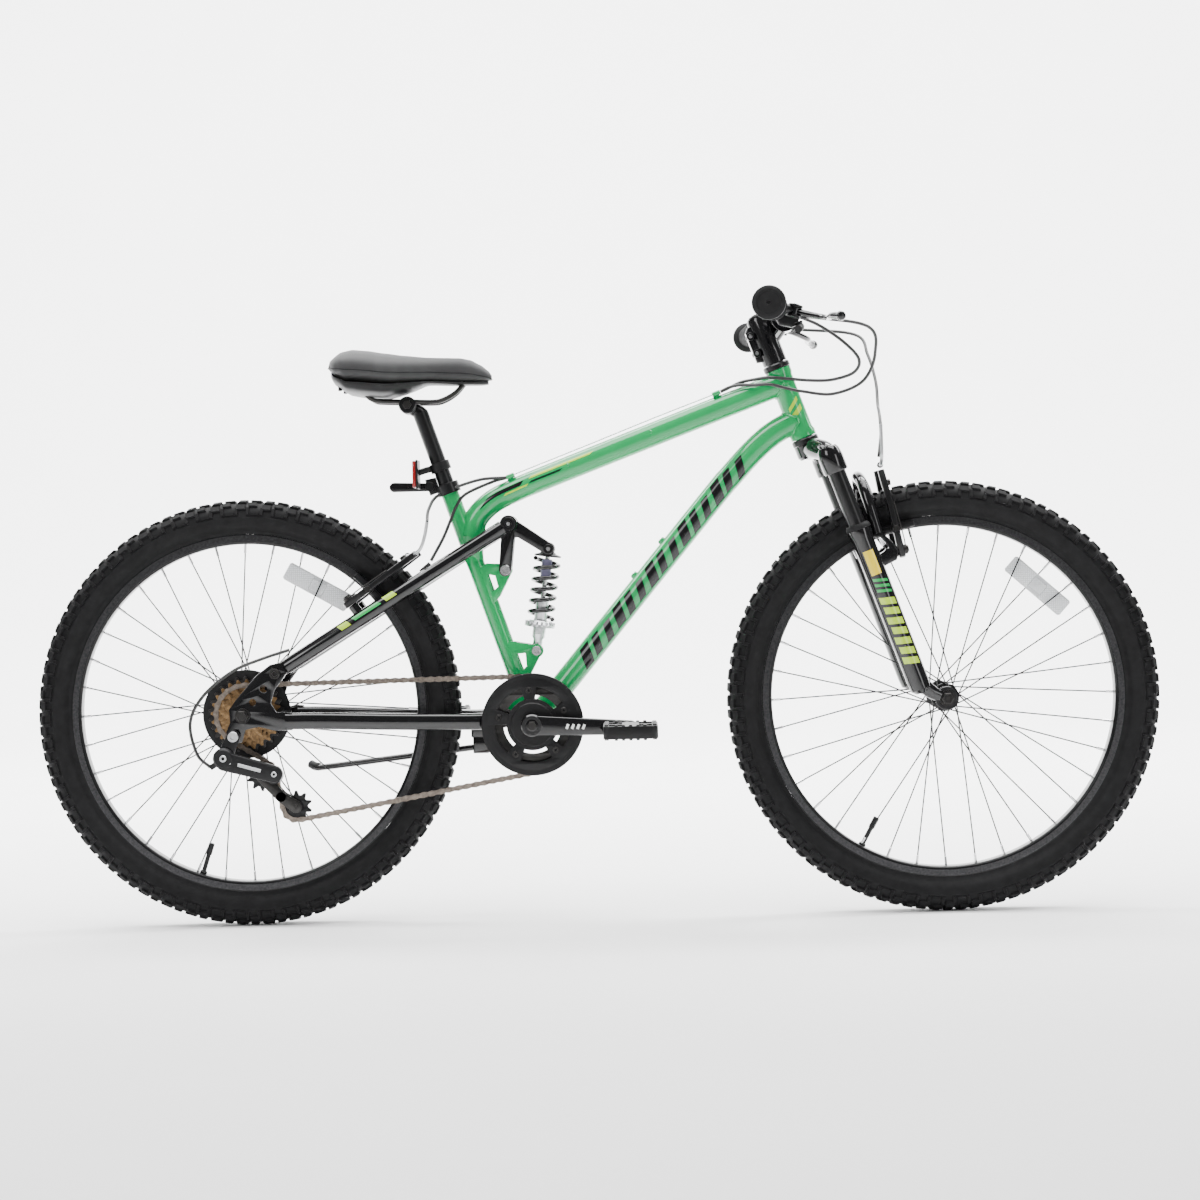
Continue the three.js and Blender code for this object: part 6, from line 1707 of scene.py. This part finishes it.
def make_shifter():
    centre = on_bar(-1, SHIFTER_Y)
    x, y, z = centre
    clamp = around_bar(
        -1, [(11.4, 101.5), (14.8, 101.5), (15.6, 102.3), (15.6, 113.7), (14.8, 114.5), (11.4, 114.5)]
    )
    outline = [
        (x + 1, z - 12), (x + 24, z - 10), (x + 27, z - 14), (x + 27, z - 26), (x + 23, z - 31),
        (x + 12, z - 34), (x - 3, z - 24), (x - 4, z - 15),
    ]
    pod = plate([outline], y - 4, y + 15, 3, 3)
    cap = rod(at(x + 20, y + 4, z - 34), at(x + 20, y + 4, z - 30), 9.5, 28, bevel=1)
    nose = rod(at(x + 24, y + 10.5, z - 23.2), at(x + 28, y + 10.5, z - 24), 4, 20)
    put_steering("shifter_housing", [clamp, pod, cap, nose], BLACK_PLASTIC, ["shifter_pod"])
    window = moved(
        block((11, 8, 0.8), ORIGIN, 0.3, 1),
        Matrix.Translation(at(x + 16, y + 6, z - 10.4)) @ Matrix.Rotation(-0.1, 4, "Y")
    )
    put_steering("shifter_window", [window], CLEAR_PRISM)
    hub = rod(at(x + 20, y, z - 38), at(x + 19, y, z - 34.4), 9, 28, bevel=0.8)
    thumb = tube(spline([at(x + 20, y, z - 36.4), at(x + 24, y - 12, z - 38), at(x + 21, y - 26, z - 41),
                         at(x + 17, y - 33, z - 42)], 6), lambda share: 3.2 + 2.2 * share, 20)
    put_steering(
        "shifter_thumb", [hub, thumb], BLACK_PLASTIC, ["shifter_lever"], "shift_lever"
    )


make_stem()
make_bar()
make_controls()
make_shifter()

# ---------------------------------------------------------------------------
# Saddle, post and clamp
# ---------------------------------------------------------------------------

SADDLE_HALF = [(-370, 24), (-366, 44), (-358, 61), (-345, 72), (-325, 77), (-300, 75), (-280, 66), (-262, 52),
               (-242, 39), (-225, 31), (-200, 25.5), (-180, 22), (-155, 20), (-142, 16), (-135, 9)]
SADDLE_TOP = [
    (-370, 807), (-365, 817), (-350, 827), (-334, 830), (-310, 827.5), (-291, 824), (-260, 820),
    (-228, 817), (-200, 816), (-181, 815), (-165, 811), (-150, 803), (-140, 795), (-135, 788),
]
SADDLE_LOW = [
    (-370, 802), (-360, 791), (-340, 782), (-285, 777.5), (-225, 782), (-180, 780), (-150, 779.6),
    (-135, 781),
]


def follow(table, x):
    """A smooth reading of a line of (x, value) points."""
    i = max(k for k in range(len(table) - 1) if table[k][0] <= x or k == 0)
    (x0, v0), (x1, v1) = table[i], table[i + 1]
    share = min(1, max(0, (x - x0) / (x1 - x0)))
    share = share * share * (3 - 2 * share) * 0.3 + share * 0.7
    return v0 + (v1 - v0) * share


def saddle_loft(stations, sides, section):
    """Rings of points along the saddle, closed at both ends."""
    points, faces = [], []
    for i in range(stations + 1):
        x = -369.6 + 234 * i / stations
        points += [section(x, math.tau * k / sides) for k in range(sides)]
    for i in range(stations):
        for k in range(sides):
            a, b = i * sides + k, i * sides + (k + 1) % sides
            faces.append((a, b, b + sides, a + sides))
    faces.append(tuple(range(sides - 1, -1, -1)))
    faces.append(tuple(stations * sides + k for k in range(sides)))
    return points, faces


def pad_section(x, angle):
    half, top, low = follow(SADDLE_HALF, x), follow(SADDLE_TOP, x), follow(SADDLE_LOW, x)
    across, up = math.cos(angle), math.sin(angle)
    y = half * math.copysign(abs(across) ** 0.75, across)
    edge = low + (top - low) * 0.36
    if up > 0:
        channel = 3.2 * math.exp(-(y / 9) ** 2) * max(0, 1 - ((x + 265) / 95) ** 2)
        return at(x, y, edge + (top - edge) * up ** 0.8 - channel * up)
    return at(x, y * (1 - 0.04 * abs(up)), edge + (edge - low) * -abs(up) ** 0.6)


def base_section(x, angle):
    half, low = follow(SADDLE_HALF, x) - 5, follow(SADDLE_LOW, x)
    depth = 14 * max(0, 1 - ((x + 305) / 75) ** 2) + 5
    across, up = math.cos(angle), math.sin(angle)
    z = low - 0.8 if up > 0 else low - 0.8 - depth * abs(up) ** 0.7
    return at(max(-364, min(-140, x)), half * math.copysign(abs(across) ** 0.8, across), z)


def make_saddle():
    pad = piece(
        "saddle_cushion", [saddle_loft(64, 64, pad_section)], SADDLE_COVER, "saddle",
        ["saddle_pad"]
    )
    seam_line = [pad_section(-369.6 + 234 * i / 60, 0.0) + at(0, 0.3, -1) for i in range(61)]
    seam = both_sides(tube([at(p.x, p.y - 0.4, p.z) for p in seam_line], 0.9, 10))
    piece("saddle_seam", [seam], GRIP, "saddle")
    shell = saddle_loft(48, 40, base_section)
    bolts = [rod(at(-352, y, 770), at(-352, y, 783), 3, 12) for y in (-34, 34)]
    piece("saddle_shell", [shell, *bolts], BLACK_PLASTIC, "saddle", ["saddle_base"])
    rail = tube(
        spline(
            [
                at(-322, -35, 778), at(-316, -33, 765), at(-306, -26, 756.5), at(-290, -21, 754.3),
                at(-257, -21, 752.9), at(-222, -21, 751.3), at(-206, -18, 754), at(-188, -12, 764),
                at(-174, -8, 779),
            ],
            8
        ),
        3.4, 20
    )
    piece("saddle_rails", [both_sides(rail)], DARK_STEEL, "saddle")


def make_post():
    top = on_seat_tube(478)
    post = rod(on_seat_tube(246), top, 11.4, 36)
    neck = tube(spline([top - SEAT_TUBE_LEAN * 18, top - SEAT_TUBE_LEAN * 2, at(-257, 0, 746)], 8),
                lambda share: 11.4 - 2 * share, 28)
    drum = cross_rod(at(-257, 0, 747), -16, 16, 12, 36, bevel=1.4)
    cheeks = both_sides(
        turned(
            [(0, 16.4), (11, 16.4), (12.4, 18), (12.4, 26), (11, 28), (0, 28)], at(-257, 0, 748), Y_AXIS, 36
        )
    )
    piece("post_tube", [post, neck, drum, cheeks], SATIN_BLACK, "saddle", ["seat_post"])
    nuts = both_sides(hexagon(at(-257, -28.2, 748), -Y_AXIS, 6.5, 4))
    piece("saddle_clamp_nuts", [nuts], DARK_STEEL, "saddle")


def make_reflector():
    low = on_seat_tube(387)
    collar = turned(
        [(11.8, 0), (14.4, 0), (15, 0.6), (15, 12.4), (14.4, 13), (11.8, 13)], low, SEAT_TUBE_LEAN, 36,
        ring=True
    )
    arm = tube(spline([at(-219, 0, 657), at(-234, 0, 654), at(-247, 0, 650)], 6), 4.6, 20)
    back = block((3, 48, 42), at(-246.4, 0, 648), 1.2)
    piece("reflector_bracket", [collar, arm, back], BLACK_PLASTIC, "saddle")
    lens = block((5.4, 45, 39), at(-250.2, 0, 648), 2, 3)
    piece("reflector_lens", [lens], RED_PRISM, "saddle", ["rear_reflector"])


def make_seat_clamp():
    low = on_seat_tube(352)
    collar = turned(
        [(13.3, 0), (16.4, 0), (17, 0.7), (17, 14.8), (16.4, 15.5), (13.3, 15.5)], low, SEAT_TUBE_LEAN, 40,
        ring=True
    )
    ear = plate([[(-236, 640), (-221, 643), (-214, 622), (-229, 617)]], -8, 8, 1.4, 2)
    bolt = rod(at(-229, -9, 630), at(-229, 21, 630), 4, 24)
    nut = turned([(0, 0), (6.4, 0), (7, 0.8), (7, 4), (6, 5), (0, 5)], at(-229, -8.2, 630), -Y_AXIS, 20)
    piece("clamp_collar", [collar, ear, bolt, nut], SATIN_BLACK, "frame", ["seat_clamp"])
    pivot = at(-229, 28, 630)
    cam = rod(pivot - SEAT_TUBE_LEAN * 5.5, pivot + SEAT_TUBE_LEAN * 5.5, 6.5, 32, bevel=0.8)
    blade = plate([link_outline(at(-232, 0, 630), 6, at(-284, 0, 631), 7)], 26, 30, 1.4, 2)
    piece("clamp_handle", [cam, blade], GLOSS_BLACK, "clamp_lever", ["seat_clamp_lever"])


make_saddle()
make_post()
make_reflector()
make_seat_clamp()

# ---------------------------------------------------------------------------
# Rim brakes, each in a frame whose X runs along the studs and Z up the arms
# ---------------------------------------------------------------------------

FRONT_BRAKE = STEERING @ Matrix.Translation(at(62, 0, -199)) @ Matrix.Rotation(math.radians(7.5), 4, "Y")
REAR_ARM_ANGLE = math.atan2(STAY_LEAN.z, STAY_LEAN.x) + 0.07
REAR_BRAKE = Matrix((at(-math.sin(REAR_ARM_ANGLE), 0, math.cos(REAR_ARM_ANGLE)), at(0, -1, 0),
                     at(math.cos(REAR_ARM_ANGLE), 0, math.sin(REAR_ARM_ANGLE)))).transposed().to_4x4()
REAR_BRAKE.translation = at(-342.5, 0, 462.5)


def arm_shapes(side, pad_tilt):
    """An arm with its pad, on the local +Y side, mirrored where side is -1."""
    outline = [
        (48, -4), (46, -9), (40, -11), (34, -9), (32, -3), (32, 14), (38.5, 50), (33, 88), (24.5, 112),
        (25, 118), (34, 118), (37, 112), (45.5, 90), (51, 48), (48.5, 20),
    ]
    sheet, faces = plate([outline, circle(41, 66, 3, 16), circle(39.5, 84, 2.6, 16)], 0.5, 9.5, 1.6, 2)
    arm = [at(p.y, p.x, p.z) for p in sheet], faces
    stud = rod(at(0.6, 40, 0), at(14, 40, 0), 7, 28)
    cap = rod(at(14, 40, 0), at(16, 40, 0), 5, 6)
    tilt = Matrix.Translation(at(5, 0, 32)) @ Matrix.Rotation(math.radians(pad_tilt), 4, "Y")
    pad_stud = rod(at(5, 20, 32), at(5, 49, 32), 3.3, 20)
    nut = hexagon(at(5, 47.5, 32), Y_AXIS, 5, 4.5)
    washers = [rod(at(5, y, 32), at(5, y + 2.4, 32), 6.4, 28) for y in (24.5, 27.4, 30.3)]
    holder = moved(block((57, 3, 9), at(0, 22.2, 0), 1, 2), tilt)
    rubber = moved(block((57, 6.6, 9), at(0, 18, 0), 1, 2), tilt)
    anchor = rod(at(9, 31, 98), at(14, 31, 98), 4.4, 6)
    spring = tube(spline([at(11, 46, 2), at(12, 50, 14), at(11.5, 50, 40), at(10.5, 47.5, 70)], 6), 0.9, 8)
    mirror = Matrix.Scale(side, 4, Y_AXIS)
    groups = ([arm, holder], [stud, cap, pad_stud, nut, *washers, anchor, spring], [rubber])
    return [[moved(s, mirror) for s in group] for group in groups]


def make_brake(end, place, bodies, tilt):
    for side, name, body in bodies:
        black, bright, rubber = arm_shapes(side, tilt)
        node = f"{end}_brake_arm_{name}"
        piece(
            f"{end}_{name}_arm_forging", [moved(s, place) for s in black], SATIN_BLACK, body,
            [node]
        )
        piece(
            f"{end}_{name}_arm_fittings", [moved(s, place) for s in bright], DARK_STEEL, body,
        )
        piece(f"{end}_{name}_brake_pad", [moved(s, place) for s in rubber], GRIP, body)


make_brake("front", FRONT_BRAKE, ((-1, "right", "front_arm_right"), (1, "left", "front_arm_left")), -2)
make_brake("rear", REAR_BRAKE, ((1, "right", "rear_arm_right"), (-1, "left", "rear_arm_left")), 9)

# ---------------------------------------------------------------------------
# Cables and kickstand
# ---------------------------------------------------------------------------

CASING_RADIUS = 2.4
WIRE_RADIUS = 0.8


# The cables that cross the steering joint and the fork's stroke are given two bodies and two places, which
# are not used: these cables ride on no body.
STEERING_BEND = ("frame", "steering", at(222, -14, 763) * MM, at(400, -80, 830) * MM)
FORK_BEND = ("steering", "fork_slider", at(420, 36, 765) * MM, at(416, -22, 655) * MM)


def cable(name, route, radius, material, body, nodes=()):
    piece(name, [tube(spline(route, 10), radius, 14)], material, body, nodes)


def at_lever(side):
    centre = on_bar(side, 150)
    spot = centre + at(47, -side * 42, 2)
    turn = Matrix.Translation(centre) @ Matrix.Rotation(LEVER_PITCH, 4, "Y") @ Matrix.Translation(-centre)
    return STEERING @ (turn @ spot)


def make_front_cables():
    front = [
        at_lever(1), at(396, 86, 838), at(412, 62, 806), at(420, 36, 765), at(420, 14, 730),
        at(419.5, -14, 712), at(419, -30, 690), at(417, -31, 668), at(416, -22, 655),
    ]
    cable(
        "front_brake_casing", front, CASING_RADIUS, CASING, FORK_BEND, ["front_brake_cable"]
    )
    rear = [
        at_lever(-1), at(398, -84, 836), at(410, -66, 800), at(394, -50, 762), at(352, -40, 745),
        at(310, -33, 750), at(285, -30, 756), at(262, -27, 762), at(240, -20, 762), at(222, -14, 763),
        at(207, -10.5, 760.6), at(193.6, -10, 754.7),
    ]
    cable(
        "rear_brake_casing", rear, CASING_RADIUS, CASING, STEERING_BEND,
        ["rear_brake_cable"]
    )
    start = STEERING @ (on_bar(-1, SHIFTER_Y) + at(28.5, 10.5, -24))
    gear = [
        start, at(330, -96, 838), at(362, -97, 815), at(384, -95, 790), at(378, -84, 772),
        at(350, -60, 764), at(322, -38, 765), at(290, -27, 769), at(262, -22, 772), at(240, -14, 770),
        at(222, -7, 767), at(207, -3.5, 760.6), at(193.6, -3, 754.7),
    ]
    cable("gear_casing", gear, CASING_RADIUS, CASING, STEERING_BEND, ["gear_cable"])
    for name, y in (("brake", -10), ("gear", -3)):
        wire = [at(190, y, 753.3), at(100, y - 1, 721), at(0, y - 2, 683.5), at(-106, y, 644.6)]
        cable(f"{name}_bare_wire", wire, WIRE_RADIUS, BRIGHT_STEEL, "frame")


def make_rear_cables():
    brake = [
        at(-118, -10, 640), at(-160, -14, 637), at(-215, -10, 618), at(-230, -25, 597.5),
        at(-232, -40, 578.7),
    ]
    cable("rear_casing_end", brake, CASING_RADIUS, CASING, "frame")
    gear = [
        at(-118, -3, 640), at(-139, -10, 634), at(-176, -18, 618), at(-189.5, -22, 602), at(-200, -28, 578),
        at(-210, -32, 555), at(-228, -38, 523),
    ]
    cable("gear_casing_middle", gear, CASING_RADIUS, CASING, "frame")
    bare = [at(-241, -40, 509), at(-325, -50, 457), at(-412, -62, 404)]
    cable("gear_wire_along_stay", bare, WIRE_RADIUS, BRIGHT_STEEL, "stays")
    loop = [
        at(-430, -78, 402), at(-470, -80, 390), at(-513, -78, 373), at(-556, -76, 339), at(-576, -75, 301),
        at(-567.5, -75, 256.5), at(-549, -75, 237),
    ]
    cable("gear_casing_loop", loop, CASING_RADIUS, CASING, "swingarm")


def make_noodles():
    front = [
        at(418.5, -34, 700), at(418.6, -38, 672), at(418.6, -38, 655), at(419, -26, 645), at(419, -14, 643),
    ]
    cable("front_noodle", front, 2.6, SILVER, "fork_slider")
    boot = turned(
        [
            (1.4, 0), (4.2, 0), (4.4, 4), (3.6, 5), (4.2, 7), (3.4, 9), (3.9, 11), (3, 14), (3.2, 17),
            (2, 24), (1.4, 26),
        ],
        at(419, -12, 643), Y_AXIS, 24, ring=True
    )
    piece("front_boot", [boot], GRIP, "fork_slider")
    rear = [
        at(-232, -40, 578.7), at(-236, -43, 558), at(-243, -43, 540), at(-256, -30, 532),
        at(-264, -14, 531),
    ]
    cable("rear_noodle", rear, 2.6, SILVER, "stays")
    rear_boot = turned(
        [
            (1.4, 0), (4.2, 0), (4.4, 4), (3.6, 5), (4.2, 7), (3.4, 9), (3.9, 11), (3, 14), (2, 22),
            (1.4, 24),
        ],
        at(-264, -12, 531), Y_AXIS, 24, ring=True
    )
    piece("rear_boot", [rear_boot], GRIP, "stays")


def make_kickstand():
    leg = tube(
        spline(
            [
                at(-170, 56.5, 247), at(-184, 56.5, 245.5), at(-260, 59, 237), at(-400, 72, 221),
                at(-416, 76, 221), at(-424, 84, 224),
            ],
            10
        ),
        4.6, 24
    )
    pin = rod(at(-168, 42, 247), at(-168, 61, 247), 4.8, 24)
    knuckle = rod(at(-168, 50.6, 247), at(-168, 61.6, 247), 9, 28, bevel=1)
    piece("stand_leg", [leg, pin, knuckle], GLOSS_BLACK, "kickstand", ["kickstand_leg"])
    foot = tube(spline([at(-412, 74.4, 221), at(-418, 78, 221.6), at(-425, 85, 224.4)], 6), 6.2, 20)
    piece("stand_foot", [foot], GRIP, "kickstand")


make_front_cables()
make_rear_cables()
make_noodles()
make_kickstand()
